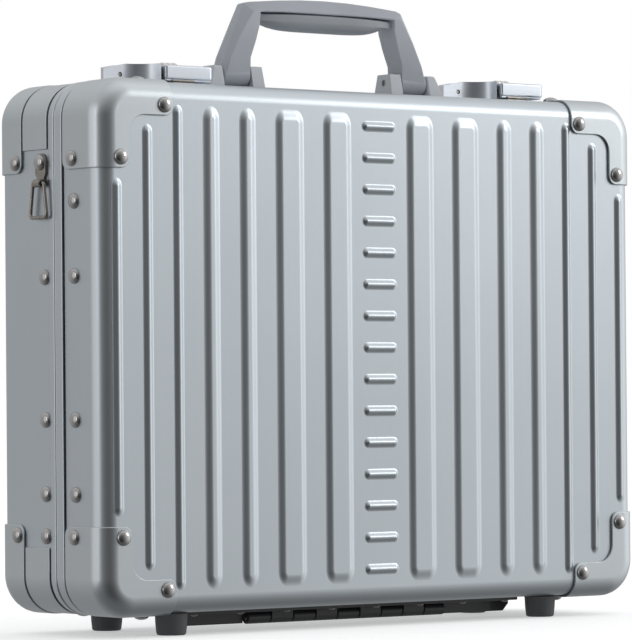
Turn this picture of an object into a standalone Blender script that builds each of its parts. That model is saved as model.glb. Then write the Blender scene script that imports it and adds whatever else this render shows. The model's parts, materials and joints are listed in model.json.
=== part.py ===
"""Aluminium attache case: two ribbed shells on a piano hinge, riveted corners, folding handle, two latches.

Metres, +Z up. The case stands on its four feet: X is its width, the lid faces -Y, and the origin is at the
bottom centre, on the surface that it stands on.
"""

import math

import bmesh
import bpy
from mathutils import Matrix, Vector

# driving dimensions
CASE_WIDTH = 0.457
CASE_HEIGHT = 0.346
LID_DEPTH = 0.041
BACK_DEPTH = 0.078
SHEET = 0.0016
CORNER_RADIUS = 0.024
LEAST_RADIUS = 0.002
EDGE_RADIUS = 0.012
SEAM_HALF_GAP = 0.0006
FIT_GAP = 0.0003
FOOT_HEIGHT = 0.015
FOOT_RADIUS = 0.0112
FOOT_TAPER = 0.0012
FOOT_CHAMFER = 0.0015
FOOT_FROM_SIDE = 0.0698
LID_FOOT_FROM_SEAM = 0.0185
BACK_FOOT_FROM_SEAM = 0.056

# pressed ribs of the two faces
RIB_PROUD = 0.0022
RIB_GAP = 0.018
RIB_WIDTHS = (0.0219, 0.0219, 0.0116, 0.0116, 0.0062, 0.0062, 0.0062)
RIB_FIRST = 0.0246
RIB_END = 0.0152
RIB_END_AT_NOTCH = 0.0285
RIB_END_AT_ARM = 0.064
LADDER_BARS = 15
LADDER_PITCH = 0.0213
LADDER_WIDTH = 0.0290
LADDER_BAR = 0.0066

# frames round the seam
LIP_PROUD = 0.0014
LIP_BAND = 0.0086
LIP_GROOVE = 0.0016
LIP_GROOVE_DEPTH = 0.0005
LIP_EDGE = 0.00075
LIP_END = 0.0175
FRAME_WEB = 0.0020
FRAME_FLANGE = 0.0016
LID_FLANGE_DEPTH = 0.018
BACK_FLANGE_DEPTH = 0.030
FRAME_DEPTH_IN = 0.0095
CHANNEL_IN = 0.0042
CHANNEL_WIDTH = 0.0038
CHANNEL_DEPTH = 0.0044
TONGUE_IN = 0.0050
TONGUE_WIDTH = 0.0022
TONGUE_OUT = 0.0020
GASKET_HEIGHT = 0.0015

# corner protectors and their rivets
PLATE = 0.0014
ARM_LENGTH = 0.0575
ARM_WIDTH = 0.0227
NOTCH_RADIUS = 0.012
LOBE_RADIUS = 0.0055
RIVET_ALONG = 0.0505
RIVET_IN = 0.0158
RIVET_HEAD = 0.0052
RIVET_HEAD_HEIGHT = 0.0030
RIVET_SHANK = 0.0018
RIVET_HOLE = 0.0022
LID_RIVET_FROM_SEAM = 0.012
BACK_RIVET_FROM_SEAM = 0.0225
BACK_CORNER_FROM_SEAM = 0.0475
BACK_CORNER_RIVET = 0.0545
LID_SIDE_RIVETS = (-0.095, -0.0465, 0.0465, 0.095)
BACK_SIDE_RIVETS = (-0.095, -0.0465, 0.0465)
WRAP_PLATE = 0.0008
WRAP_LENGTH = 0.043

# piano hinge
PIN_RADIUS = 0.0015
PIN_CLEARANCE = 0.0003
BARREL_RADIUS = 0.0042
BARREL_BELOW = 0.0073
LEAF_DROP = 0.0029
LEAF_DEPTH = 0.0140
LEAF_HALF = 0.142
BARREL_HALF = 0.085
KNUCKLES = 9
GUARD_DEPTH = 0.0076
GUARD_PAST_LEAF = 0.004
GUARD_CHAMFER = 0.005
GUARD_RISE = 0.0005
WEB_SPAN = (0.5, 0.93)
KNUCKLE_GAP = 0.0006

# carrying handle
HANDLE_FROM_SEAM = 0.0230
PIN_HEIGHT = 0.012
EAR_HEIGHT = 0.018
EAR_BASE_DEPTH = 0.021
EAR_TOP_DEPTH = 0.014
INNER_EAR = (0.0548, 0.0648)
OUTER_EAR = (0.0880, 0.1025)
OUTER_EAR_TOP = 0.0958
EAR_LEAN = 0.0008
EAR_GAP = 0.0005
BRACKET_BASE = 0.0016
FOOT_ROUND = 0.0079
ARM_CLEAR_HEIGHT = 0.0240
ARM_LEAN = 0.0028
HANDLE_PIN_RADIUS = 0.0020
HANDLE_PIN_CLEARANCE = 0.0003
HANDLE_TOP = 0.0658
GRIP_TOP = 0.0560
GRIP_BOTTOM = 0.0440
GRIP_HALF = 0.0550
GRIP_HALF_DEPTH = 0.0098
GRIP_SAG = 0.0012
GRIP_STEPS = 6

# the handle's sections above the ears: outer edge (x, below its top), inner edge (past the grip's end,
# above the grip's bottom or top), half depth
ARM_HALF_DEPTH = 0.0088
SHOULDER = ((0.0772, 0.0248), (0.0062, -0.0080), 0.0092)
ELBOW = ((0.0678, 0.0045), (0.0030, 0.0020), 0.0098)
BEND = ((0.0630, 0.0036), (0.0026, -0.0012), 0.0100)
CROWN = ((0.0300, 0.0008), (-0.0260, 0.0), 0.0100)
FACETS = ((0.0, 0.18), (0.25, 0.60), (0.8, 1.0), (1.0, 0.82))

# latches
LATCH_CENTRE = 0.1445
LATCH_LEFT = 0.0410
LATCH_BODY_LENGTH = 0.0350
HEAD_GAP = 0.0015
HEAD_LENGTH = 0.0390
HEAD_PAST_SEAM = 0.0040
FLARE_PAST_SEAM = 0.0030
FLARE_LENGTH = 0.0100
LATCH_BODY_FRONT = 0.0160
LATCH_BACK = 0.0330
LATCH_SETBACK = 0.0095
LATCH_WALL = 0.0028
LATCH_FLOOR = 0.0020
LATCH_LOW_END = 0.0115
LATCH_HUMP = 0.0160
LATCH_HUMP_ALONG = 0.0200
LATCH_HIGH_END = 0.0148
LATCH_PIN_ALONG = 0.0133
LATCH_PIN_HEIGHT = 0.0081
LATCH_PIN_RADIUS = 0.0014
PIN_SUNK = 0.0006
LEVER_TOP = 0.0143
LEVER_BOTTOM = 0.0050
LEVER_END_RADIUS = 0.0037
DIALS = 3
DIAL_ALONG = 0.0510
DIAL_RADIUS = 0.0055
DIAL_WIDTH = 0.0034
DIAL_PITCH = 0.0042
DIAL_PROUD = 0.0030
AXLE_RADIUS = 0.0008
AXLE_SEAT = 0.0025
HASP_WIDTH = 0.0180
HASP_PLATE = 0.0012
HASP_PAST_SEAM = 0.0036
KEEPER_HEIGHT = 0.0030

# strap ring brackets on the sides
TAB_WIDTH = 0.0120
TAB_PLATE = 0.0014
TAB_FROM_SEAM = 0.0250
TAB_TOP = 0.0455
TAB_RIVET_DOWN = 0.0058
EYE_WIDTH = 0.0085
EYE_FROM_TOP = 0.065
EYE_RADIUS = 0.0027
WIRE_RADIUS = 0.0012
WIRE_CLEARANCE = 0.0003
RING_TOP_WIDTH = 0.0125
RING_BOTTOM_WIDTH = 0.0200
RING_BEND = 0.0015
RING_BEND_STEPS = 3
RING_DROP = 0.0225

# lining and lid stays
LINING_IN = 0.0100
LINING = 0.0020
STAY_REACH = 0.0450
STAY_FROM_SEAM = 0.0100
STAY_WIDTH = 0.0066
STAY_END_WALL = 0.0020
STAY_PLATE = 0.0016
STAY_FROM_LINING = 0.0009
STUD_RADIUS = 0.0018
STUD_CLEARANCE = 0.0003
STUD_HEAD = 0.0012
LID_OPENING = math.radians(95)

# how far a cutter runs past what it cuts, and past the rounded edges of a shell
PAST = 0.004
PAST_EDGE = 0.010

# mesh density
CORNER_STEPS = 5
EDGE_STEPS = 3
RIVET_STEPS = 8

# places worked out from them
SEAM = (LID_DEPTH - BACK_DEPTH) / 2
FRONT = SEAM - LID_DEPTH
BACK = SEAM + BACK_DEPTH
BOTTOM = FOOT_HEIGHT
TOP = FOOT_HEIGHT + CASE_HEIGHT
MIDDLE = (BOTTOM + TOP) / 2
SIDE = CASE_WIDTH / 2
HINGE_Z = BOTTOM - BARREL_BELOW

ALUMINIUM = ("anodised_aluminium", (0.62, 0.65, 0.69), 0.38, 1.0)
BRIGHT = ("brushed_aluminium", (0.72, 0.73, 0.76), 0.28, 1.0)
CHROME = ("rivet_nickel", (0.70, 0.68, 0.65), 0.15, 1.0)
STEEL = ("dark_steel", (0.18, 0.17, 0.16), 0.4, 1.0)
BLACK = ("black_hinge", (0.02, 0.02, 0.022), 0.45, 0.3)
RUBBER = ("foot_rubber", (0.07, 0.075, 0.08), 0.6, 0.0)
PLASTIC = ("handle_plastic", (0.42, 0.43, 0.46), 0.45, 0.0)
GRIP = ("grip_plastic", (0.30, 0.31, 0.33), 0.5, 0.0)
LINER = ("lining_cloth", (0.03, 0.03, 0.033), 0.9, 0.0)


# scene, collections and materials
def clear_scene():
    for old in list(bpy.data.objects):
        bpy.data.objects.remove(old, do_unlink=True)


def make_collection(name):
    made = bpy.data.collections.new(name)
    bpy.context.scene.collection.children.link(made)
    return made


def material(look, name):
    """One Principled material for an object, from a (name, colour, roughness, metallic) look."""
    kind, colour, roughness, metallic = look
    made = bpy.data.materials.new(f"{name}_{kind}")
    made.use_nodes = True
    shader = made.node_tree.nodes["Principled BSDF"]
    shader.inputs["Base Color"].default_value = (*colour, 1.0)
    shader.inputs["Roughness"].default_value = roughness
    shader.inputs["Metallic"].default_value = metallic
    made.diffuse_color = (*colour, 1.0)
    return made


def finish(bm, name, look=None):
    """Turns a bmesh into an object: a part when it has a look, else a hidden cutter."""
    bmesh.ops.recalc_face_normals(bm, faces=bm.faces)
    mesh = bpy.data.meshes.new(name)
    bm.to_mesh(mesh)
    bm.free()
    made = bpy.data.objects.new(name, mesh)
    if look is None:
        cutters.objects.link(made)
        made.hide_render = True
        made.display_type = "WIRE"
        return made
    case.objects.link(made)
    mesh.materials.append(material(look, name))
    mesh.shade_smooth()
    mesh.set_sharp_from_angle(angle=math.radians(30))
    return made


def boolean(target, tool, operation):
    modifier = target.modifiers.new(f"{operation.lower()}_{tool.name}", "BOOLEAN")
    modifier.operation = operation
    modifier.object = tool
    modifier.solver = "EXACT"
    return target


# basic shapes
def add_box(bm, low, high):
    size = [b - a for a, b in zip(low, high)]
    middle = [(a + b) / 2 for a, b in zip(low, high)]
    place = Matrix.Translation(middle) @ Matrix.Diagonal((*size, 1.0))
    return bmesh.ops.create_cube(bm, size=1.0, matrix=place)["verts"]


def add_rod(bm, start, end, radius, end_radius=None, segments=16):
    """A cylinder, or a cone when end_radius is given, from start to end."""
    start, end = Vector(start), Vector(end)
    turn = (end - start).to_track_quat("Z", "Y").to_matrix().to_4x4()
    place = Matrix.Translation((start + end) / 2) @ turn
    length = (end - start).length
    top = radius if end_radius is None else end_radius
    bmesh.ops.create_cone(
        bm, cap_ends=True, segments=segments, radius1=radius, radius2=top, depth=length, matrix=place
    )


def add_prism(bm, outline, start, end):
    """Extrudes a closed outline of points by the vector from start to end."""
    face = bm.faces.new([bm.verts.new(Vector(point) + Vector(start)) for point in outline])
    raised = bmesh.ops.extrude_face_region(bm, geom=[face])["geom"]
    moved = [item for item in raised if isinstance(item, bmesh.types.BMVert)]
    bmesh.ops.translate(bm, verts=moved, vec=Vector(end) - Vector(start))


def box(name, low, high, look=None):
    bm = bmesh.new()
    add_box(bm, low, high)
    return finish(bm, name, look)


def arc(centre, radius, start, end, steps):
    """Points (u, v) along an arc, in degrees, both ends included."""
    angles = [math.radians(start + (end - start) * k / steps) for k in range(steps + 1)]
    return [(centre[0] + radius * math.cos(a), centre[1] + radius * math.sin(a)) for a in angles]


def ring_of(bm, inset, y):
    """The vertices of the case's rounded outline, drawn in by inset, in the plane at y."""
    radius = max(CORNER_RADIUS - inset, LEAST_RADIUS)
    across, up = SIDE - inset - radius, CASE_HEIGHT / 2 - inset - radius
    corners = ((across, up, 0), (-across, up, 90), (-across, -up, 180), (across, -up, 270))
    found = []
    for x, z, start in corners:
        found += arc((x, z), radius, start, start + 90, CORNER_STEPS)
    return [bm.verts.new((x, y, MIDDLE + z)) for x, z in found]


def loft(bm, rings, closed=False):
    """Joins rings with equal numbers of vertices into one skin."""
    pairs = list(zip(rings, rings[1:])) + ([(rings[-1], rings[0])] if closed else [])
    for first, second in pairs:
        count = len(first)
        for k in range(count):
            after = (k + 1) % count
            bm.faces.new((first[k], first[after], second[after], second[k]))


def band(name, profile, look):
    """A closed frame round the case, from a profile of (inset, distance from the seam)."""
    bm = bmesh.new()
    loft(bm, [ring_of(bm, inset, SEAM + away) for inset, away in profile], closed=True)
    return finish(bm, name, look)


def tray(name, rim, face, grow, thickness, outward, look=None):
    """An open box with the case's rounded edges, from its rim to its face, grown by grow."""
    bm = bmesh.new()
    sign = 1 if face > rim else -1
    radius = EDGE_RADIUS + grow
    centre = face + sign * grow - sign * radius
    rings = [ring_of(bm, -grow, rim)]
    for out, along in arc((0, 0), radius, 0, 90, EDGE_STEPS):
        rings.append(ring_of(bm, -grow + radius - out, centre + sign * along))
    loft(bm, rings)
    bm.faces.new(rings[-1])
    made = finish(bm, name, look)
    wall = made.modifiers.new("wall", "SOLIDIFY")
    wall.thickness = thickness
    wall.offset = 1.0 if outward else -1.0
    wall.use_even_offset = True
    return made


# rivets
def add_rivet(bm, seat, outward, reach):
    """A domed rivet: its head on the seat, its shank reach deep behind it."""
    rise = [(math.cos(math.radians(a)), math.sin(math.radians(a))) for a in (0, 35, 65)]
    profile = [(RIVET_SHANK, -reach), (RIVET_SHANK, 0.0)]
    profile += [(RIVET_HEAD * c, RIVET_HEAD_HEIGHT * s) for c, s in rise]
    turn = Vector(outward).to_track_quat("Z", "Y").to_matrix().to_4x4()
    place = Matrix.Translation(seat) @ turn
    rings = []
    for radius, along in profile:
        ring = bmesh.ops.create_circle(
            bm, segments=RIVET_STEPS, radius=radius, matrix=place @ Matrix.Translation((0, 0, along))
        )
        rings.append(ring["verts"])
    loft(bm, rings)
    crown = bm.verts.new(place @ Vector((0, 0, RIVET_HEAD_HEIGHT)))
    for k in range(RIVET_STEPS):
        bm.faces.new((rings[-1][k], rings[-1][(k + 1) % RIVET_STEPS], crown))
    bm.faces.new(rings[0])


def corner_rivets(side, end, face_y, wall_y):
    """Seats and directions of the four rivets of one corner protector."""
    outward = 1 if face_y > SEAM else -1
    x_far, x_near = side * (SIDE - RIVET_ALONG), side * (SIDE - RIVET_IN)
    z_far = MIDDLE + end * (CASE_HEIGHT / 2 - RIVET_ALONG)
    z_near = MIDDLE + end * (CASE_HEIGHT / 2 - RIVET_IN)
    edge = MIDDLE + end * CASE_HEIGHT / 2
    return [
        ((x_far, face_y, z_near), (0, outward, 0)),
        ((x_near, face_y, z_far), (0, outward, 0)),
        ((side * SIDE, wall_y, z_far), (side, 0, 0)),
        ((x_far, wall_y, edge), (0, 0, end)),
    ]


def side_rivets(wall_y, heights):
    """Seats and directions of the rivets that hold a shell's side walls to its frame."""
    return [((side * SIDE, wall_y, MIDDLE + height), (side, 0, 0)) for side in (-1, 1) for height in heights]


def rivet_group(name, seats, lift, reach):
    """Rivets as one hidden shape, lifted off the shell by the plate that they hold."""
    bm = bmesh.new()
    for seat, outward in seats:
        add_rivet(bm, Vector(seat) + Vector(outward) * lift, outward, reach)
    return finish(bm, name)


def hole_group(name, seats):
    bm = bmesh.new()
    for seat, outward in seats:
        reach = Vector(outward) * (SHEET + PAST)
        add_rod(bm, Vector(seat) - reach, Vector(seat) + reach, RIVET_HOLE, segments=RIVET_STEPS)
    return finish(bm, name)


# shells
def rib_ends(index):
    """How far from the case's top and bottom edges rib number index stops."""
    last = len(RIB_WIDTHS) - 1
    return {last: RIB_END_AT_ARM, last - 1: RIB_END_AT_NOTCH}.get(index, RIB_END)


def ribs(name, face):
    """The raised ribs and the ladder of short bars of one face, sunk halfway into its sheet."""
    bm = bmesh.new()
    sign = 1 if face > SEAM else -1
    low, high = sorted((face - sign * SHEET / 2, face + sign * RIB_PROUD))
    start = RIB_FIRST
    for index, width in enumerate(RIB_WIDTHS):
        half = CASE_HEIGHT / 2 - rib_ends(index)
        for side in (-1, 1):
            left, right = sorted((side * start, side * (start + width)))
            add_box(bm, (left, low, MIDDLE - half), (right, high, MIDDLE + half))
        start += width + RIB_GAP
    for k in range(LADDER_BARS):
        z = MIDDLE + (k - (LADDER_BARS - 1) / 2) * LADDER_PITCH
        half = LADDER_WIDTH / 2
        add_box(bm, (-half, low, z - LADDER_BAR / 2), (half, high, z + LADDER_BAR / 2))
    return finish(bm, name)


def shell(name, face, rivets):
    sign = 1 if face > SEAM else -1
    rim = SEAM + sign * SEAM_HALF_GAP
    if sign > 0:
        rim += FRAME_WEB + FIT_GAP
    made = tray(name, rim, face, 0.0, SHEET, False, ALUMINIUM)
    boolean(made, ribs(f"{name}_ribs", face), "UNION")
    boolean(made, hole_group(f"{name}_holes", rivets), "DIFFERENCE")
    return made


def corner_outline(side, end):
    """The face outline of a corner protector, as (x, z) points, running past the case's edges."""
    far, near, past = ARM_LENGTH, ARM_WIDTH, -PAST_EDGE
    lobe, notch = LOBE_RADIUS, NOTCH_RADIUS
    points = [(past, past), (far, past)]
    points += arc((far - lobe, near - lobe), lobe, 0, 90, 3)
    points += arc((near + notch, near + notch), notch, 270, 180, 5)
    points += arc((near - lobe, far - lobe), lobe, 0, 90, 3)
    points += [(past, far)]
    top = CASE_HEIGHT / 2
    return [(side * (SIDE - u), 0.0, MIDDLE + end * (top - v)) for u, v in points]


def corner(name, side, end, face, start, wall_y):
    """A pressed corner protector with its four rivets, over the shell's corner."""
    sign = 1 if face > SEAM else -1
    made = tray(name, start, face, FIT_GAP, PLATE, True, ALUMINIUM)
    bm = bmesh.new()
    reach = sign * PAST_EDGE
    add_prism(bm, corner_outline(side, end), (0, start - reach, 0), (0, face + reach, 0))
    boolean(made, finish(bm, f"{name}_outline"), "INTERSECT")
    seats = corner_rivets(side, end, face, wall_y)
    lift = FIT_GAP + PLATE / 2
    rivets = rivet_group(f"{name}_rivets", seats, lift, lift + SHEET)
    return boolean(made, rivets, "UNION"), seats


def wrap_plate(name, side, end):
    """The thin plate that wraps the back shell's corner between the frame and the protector."""
    start = SEAM + LIP_END + 3 * FIT_GAP
    stop = SEAM + BACK_CORNER_FROM_SEAM - 3 * FIT_GAP
    made = tray(name, start, BACK, FIT_GAP, WRAP_PLATE, True, ALUMINIUM)
    x_in, x_out = SIDE - WRAP_LENGTH, SIDE + PAST_EDGE
    z_in, z_out = CASE_HEIGHT / 2 - WRAP_LENGTH, CASE_HEIGHT / 2 + PAST_EDGE
    x_low, x_high = sorted((side * x_in, side * x_out))
    z_low, z_high = sorted((end * z_in, end * z_out))
    low = (x_low, start - PAST_EDGE, MIDDLE + z_low)
    high = (x_high, stop, MIDDLE + z_high)
    return boolean(made, box(f"{name}_outline", low, high), "INTERSECT")


# frames round the seam
def lid_frame(rivets):
    skin = SHEET + FIT_GAP
    web = SEAM_HALF_GAP
    floor = web + CHANNEL_DEPTH
    profile = [
        (skin, -web),
        (skin, -LID_FLANGE_DEPTH),
        (skin + FRAME_FLANGE, -LID_FLANGE_DEPTH),
        (skin + FRAME_FLANGE, -floor - FRAME_FLANGE),
        (FRAME_DEPTH_IN, -floor - FRAME_FLANGE),
        (FRAME_DEPTH_IN, -web),
        (CHANNEL_IN + CHANNEL_WIDTH, -web),
        (CHANNEL_IN + CHANNEL_WIDTH, -floor),
        (CHANNEL_IN, -floor),
        (CHANNEL_IN, -web),
    ]
    made = band("front_frame", profile, ALUMINIUM)
    reach = FIT_GAP + skin + FRAME_FLANGE / 2
    return boolean(made, rivet_group("front_frame_rivets", rivets, FIT_GAP, reach), "UNION")


def back_frame(rivets):
    skin = SHEET + FIT_GAP
    web = SEAM_HALF_GAP
    out = -LIP_PROUD
    groove = out + LIP_GROOVE_DEPTH
    profile = [
        (out, web),
        (out, LIP_BAND),
        (groove, LIP_BAND + LIP_GROOVE * 0.25),
        (groove, LIP_BAND + LIP_GROOVE * 0.75),
        (out, LIP_BAND + LIP_GROOVE),
        (-LIP_EDGE, LIP_END),
        (-FIT_GAP, LIP_END),
        (-FIT_GAP, web + FRAME_WEB),
        (skin, web + FRAME_WEB),
        (skin, BACK_FLANGE_DEPTH),
        (skin + FRAME_FLANGE, BACK_FLANGE_DEPTH),
        (skin + FRAME_FLANGE, web + FRAME_WEB),
        (FRAME_DEPTH_IN, web + FRAME_WEB),
        (FRAME_DEPTH_IN, web),
        (TONGUE_IN + TONGUE_WIDTH, web),
        (TONGUE_IN + TONGUE_WIDTH, -TONGUE_OUT),
        (TONGUE_IN, -TONGUE_OUT),
        (TONGUE_IN, web),
    ]
    made = band("back_frame", profile, ALUMINIUM)
    reach = FIT_GAP + skin + FRAME_FLANGE / 2
    return boolean(made, rivet_group("back_frame_rivets", rivets, FIT_GAP, reach), "UNION")


def gasket():
    floor = SEAM_HALF_GAP + CHANNEL_DEPTH - FIT_GAP
    inner, outer = CHANNEL_IN + CHANNEL_WIDTH - FIT_GAP, CHANNEL_IN + FIT_GAP
    top = GASKET_HEIGHT - floor
    profile = [(outer, -floor), (inner, -floor), (inner, top), (outer, top)]
    return band("gasket", profile, RUBBER)


def lining(name, face):
    sign = 1 if face > SEAM else -1
    bottom = face - sign * (SHEET + FIT_GAP)
    bm = bmesh.new()
    rings = [ring_of(bm, LINING_IN, SEAM + sign * 2 * SEAM_HALF_GAP)]
    rings.append(ring_of(bm, LINING_IN, bottom - sign * LINING))
    rings.append(ring_of(bm, LINING_IN + LINING, bottom))
    loft(bm, rings)
    bm.faces.new(rings[-1])
    made = finish(bm, name, LINER)
    wall = made.modifiers.new("board", "SOLIDIFY")
    wall.thickness = LINING
    wall.offset = -1.0
    wall.use_even_offset = True
    return made


# feet
def foot(name, x, y):
    bm = bmesh.new()
    add_rod(bm, (x, y, 0), (x, y, BOTTOM - FIT_GAP), FOOT_RADIUS - FOOT_TAPER, FOOT_RADIUS, segments=24)
    rim = [edge for edge in bm.edges if max(vert.co.z for vert in edge.verts) < FOOT_HEIGHT / 2]
    bmesh.ops.bevel(bm, geom=rim, offset=FOOT_CHAMFER, segments=1, affect="EDGES", profile=0.5)
    return finish(bm, name, RUBBER)


# piano hinge
def knuckle_spans(first):
    """The (left, right) ends of every second knuckle, from knuckle number first."""
    pitch = 2 * BARREL_HALF / KNUCKLES
    spans = []
    for k in range(first, KNUCKLES, 2):
        left = -BARREL_HALF + k * pitch
        spans.append((left + KNUCKLE_GAP / 2, left + pitch - KNUCKLE_GAP / 2))
    return spans


def hinge_leaf(name, sign, spans):
    """A leaf under one shell: its plate, a web down to each knuckle, and the knuckles, bored for the pin."""
    top = BOTTOM - FIT_GAP - (LIP_PROUD if sign > 0 else 0.0)
    under = BOTTOM - LEAF_DROP
    near, far = SEAM + sign * SEAM_HALF_GAP, SEAM + sign * LEAF_DEPTH
    low_y, high_y = sorted((near, far))
    made = box(name, (-LEAF_HALF, low_y, under), (LEAF_HALF, high_y, top), BLACK)
    webs, barrels, bores = bmesh.new(), bmesh.new(), bmesh.new()
    web_low, web_high = sorted(SEAM + sign * BARREL_RADIUS * share for share in WEB_SPAN)
    for left, right in spans:
        high = (right - FIT_GAP, web_high, (under + top) / 2)
        add_box(webs, (left + FIT_GAP, web_low, HINGE_Z), high)
        add_rod(barrels, (left, SEAM, HINGE_Z), (right, SEAM, HINGE_Z), BARREL_RADIUS, segments=16)
    bore = PIN_RADIUS + PIN_CLEARANCE
    add_rod(bores, (-LEAF_HALF, SEAM, HINGE_Z), (LEAF_HALF, SEAM, HINGE_Z), bore, segments=12)
    boolean(made, finish(webs, f"{name}_webs"), "UNION")
    boolean(made, finish(barrels, f"{name}_barrels"), "UNION")
    return boolean(made, finish(bores, f"{name}_bore"), "DIFFERENCE")


def hinge_guards(leaf):
    """The chamfered blocks that close the ends of the hinge, joined to the back leaf."""
    bm = bmesh.new()
    top = BOTTOM - (LEAF_DROP + FIT_GAP + LIP_PROUD) / 2
    low = HINGE_Z - BARREL_RADIUS + GUARD_RISE
    start, stop = BARREL_HALF + 2 * KNUCKLE_GAP, LEAF_HALF + GUARD_PAST_LEAF
    near, deep = SEAM + SEAM_HALF_GAP, SEAM + GUARD_DEPTH
    for side in (-1, 1):
        outline = [(start, low), (stop - GUARD_CHAMFER, low), (stop, low + GUARD_CHAMFER)]
        outline += [(stop, top), (start, top)]
        add_prism(bm, [(side * x, 0, z) for x, z in outline], (0, near, 0), (0, deep, 0))
    return boolean(leaf, finish(bm, "hinge_guards"), "UNION")


# carrying handle
HANDLE_Y = SEAM + HANDLE_FROM_SEAM
HANDLE_Z = TOP + PIN_HEIGHT


def lip_room(name, x_low, x_high):
    """The room that a piece on the case's top leaves for the back frame's lip."""
    reach = SEAM + LIP_END + FIT_GAP
    return box(name, (x_low, FRONT, TOP - FIT_GAP), (x_high, reach, TOP + LIP_PROUD + FIT_GAP))


def handle_bracket(name, side):
    """A base plate over the frame's lip with two tapered ears, bored across for the handle's pin."""
    base = TOP + FIT_GAP
    x_low, x_high = sorted((side * INNER_EAR[0], side * OUTER_EAR[1]))
    y_low, y_high = HANDLE_Y - EAR_BASE_DEPTH / 2, HANDLE_Y + EAR_BASE_DEPTH / 2
    made = box(name, (x_low, y_low, base), (x_high, y_high, base + LIP_PROUD + BRACKET_BASE), PLASTIC)
    ears = bmesh.new()
    for foot_span, top_span in (
        (INNER_EAR, (INNER_EAR[0] + EAR_LEAN, INNER_EAR[1])),
        (OUTER_EAR, (OUTER_EAR[0], OUTER_EAR_TOP)),
    ):
        rings = []
        sections = ((foot_span, EAR_BASE_DEPTH / 2, base), (top_span, EAR_TOP_DEPTH / 2, TOP + EAR_HEIGHT))
        for span, half, z in sections:
            corners = ((span[0], -half), (span[1], -half), (span[1], half), (span[0], half))
            rings.append([ears.verts.new((side * x, HANDLE_Y + y, z)) for x, y in corners])
        loft(ears, rings)
        ears.faces.new(rings[0])
        ears.faces.new(rings[1])
    boolean(made, finish(ears, f"{name}_ears"), "UNION")
    boolean(made, lip_room(f"{name}_lip_room", x_low - PAST, x_high + PAST), "DIFFERENCE")
    bore = bmesh.new()
    radius = HANDLE_PIN_RADIUS + HANDLE_PIN_CLEARANCE
    ends = [side * (INNER_EAR[0] - PAST), side * (OUTER_EAR_TOP + PAST)]
    add_rod(bore, (ends[0], HANDLE_Y, HANDLE_Z), (ends[1], HANDLE_Y, HANDLE_Z), radius, segments=14)
    return boolean(made, finish(bore, f"{name}_bore"), "DIFFERENCE")


def handle_pin(name, side):
    ends = side * (INNER_EAR[0] + 2 * EAR_LEAN), side * (OUTER_EAR_TOP - EAR_LEAN)
    bm = bmesh.new()
    add_rod(bm, (ends[0], HANDLE_Y, HANDLE_Z), (ends[1], HANDLE_Y, HANDLE_Z), HANDLE_PIN_RADIUS, segments=14)
    return finish(bm, name, STEEL)


def handle_section(bm, outer, inner, half):
    """One section of the handle, from its outer edge to its inner one, each (x, height above the case)."""
    outer, inner = Vector((outer[0], 0, outer[1])), Vector((inner[0], 0, inner[1]))
    span = inner - outer
    front = [outer + span * along + Vector((0, -half * deep, 0)) for along, deep in FACETS]
    back = [outer + span * along + Vector((0, half * deep, 0)) for along, deep in reversed(FACETS)]
    lift = Vector((0, HANDLE_Y, TOP))
    return [bm.verts.new(point + lift) for point in front + back]


def handle_frame():
    """Two flat-sided arms with round feet, and the arched bar between them, bored for the pins."""
    outer_foot, inner_foot = OUTER_EAR[0] - EAR_GAP, INNER_EAR[1] + EAR_GAP
    outer_arm = outer_foot - ARM_LEAN
    grip_top = GRIP_TOP + FIT_GAP
    stations = [
        ((outer_foot, PIN_HEIGHT), (inner_foot, PIN_HEIGHT), FOOT_ROUND),
        ((outer_arm, ARM_CLEAR_HEIGHT), (inner_foot, ARM_CLEAR_HEIGHT), ARM_HALF_DEPTH),
    ]
    levels = ((SHOULDER, GRIP_BOTTOM), (ELBOW, GRIP_BOTTOM), (BEND, grip_top), (CROWN, grip_top))
    for ((outer_x, below), (past_grip, above), half), level in levels:
        stations.append(((outer_x, HANDLE_TOP - below), (GRIP_HALF + past_grip, level + above), half))
    mirrored = [((-o[0], o[1]), (-i[0], i[1]), half) for o, i, half in reversed(stations)]
    bm = bmesh.new()
    rings = [handle_section(bm, *station) for station in stations]
    rings.append(handle_section(bm, (0, HANDLE_TOP), (0, grip_top), CROWN[2]))
    rings += [handle_section(bm, *station) for station in mirrored]
    loft(bm, rings)
    bm.faces.new(rings[0])
    bm.faces.new(rings[-1])
    made = finish(bm, "handle_frame", PLASTIC)
    feet, bore = bmesh.new(), bmesh.new()
    for side in (-1, 1):
        start, end = (side * inner_foot, HANDLE_Y, HANDLE_Z), (side * outer_foot, HANDLE_Y, HANDLE_Z)
        add_rod(feet, start, end, FOOT_ROUND + FIT_GAP, segments=24)
    boolean(made, finish(feet, "handle_feet"), "UNION")
    reach, radius = OUTER_EAR[0] + PAST, HANDLE_PIN_RADIUS + HANDLE_PIN_CLEARANCE
    add_rod(bore, (-reach, HANDLE_Y, HANDLE_Z), (reach, HANDLE_Y, HANDLE_Z), radius, segments=14)
    return boolean(made, finish(bore, "handle_bore"), "DIFFERENCE")


def handle_grip():
    """The hand grip that fills the underside of the bar, its belly hanging in an arc."""
    bm = bmesh.new()
    rings = []
    for k in range(GRIP_STEPS + 1):
        along = 2 * k / GRIP_STEPS - 1
        depth = (GRIP_TOP - FIT_GAP - GRIP_BOTTOM) * (1 - 0.5 * along**4)
        half = GRIP_HALF_DEPTH * (1 - 0.08 * along**2)
        x = along * GRIP_HALF
        top = TOP + GRIP_TOP - FIT_GAP - (GRIP_SAG + FIT_GAP) * along**4
        ring = [(x, HANDLE_Y + y * half, top + down * depth) for y, down in arc((0, 0), 1.0, 180, 360, 8)]
        rings.append([bm.verts.new(point) for point in ring])
    loft(bm, rings)
    bm.faces.new(rings[0])
    bm.faces.new(rings[-1])
    return finish(bm, "handle_grip", GRIP)


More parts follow.
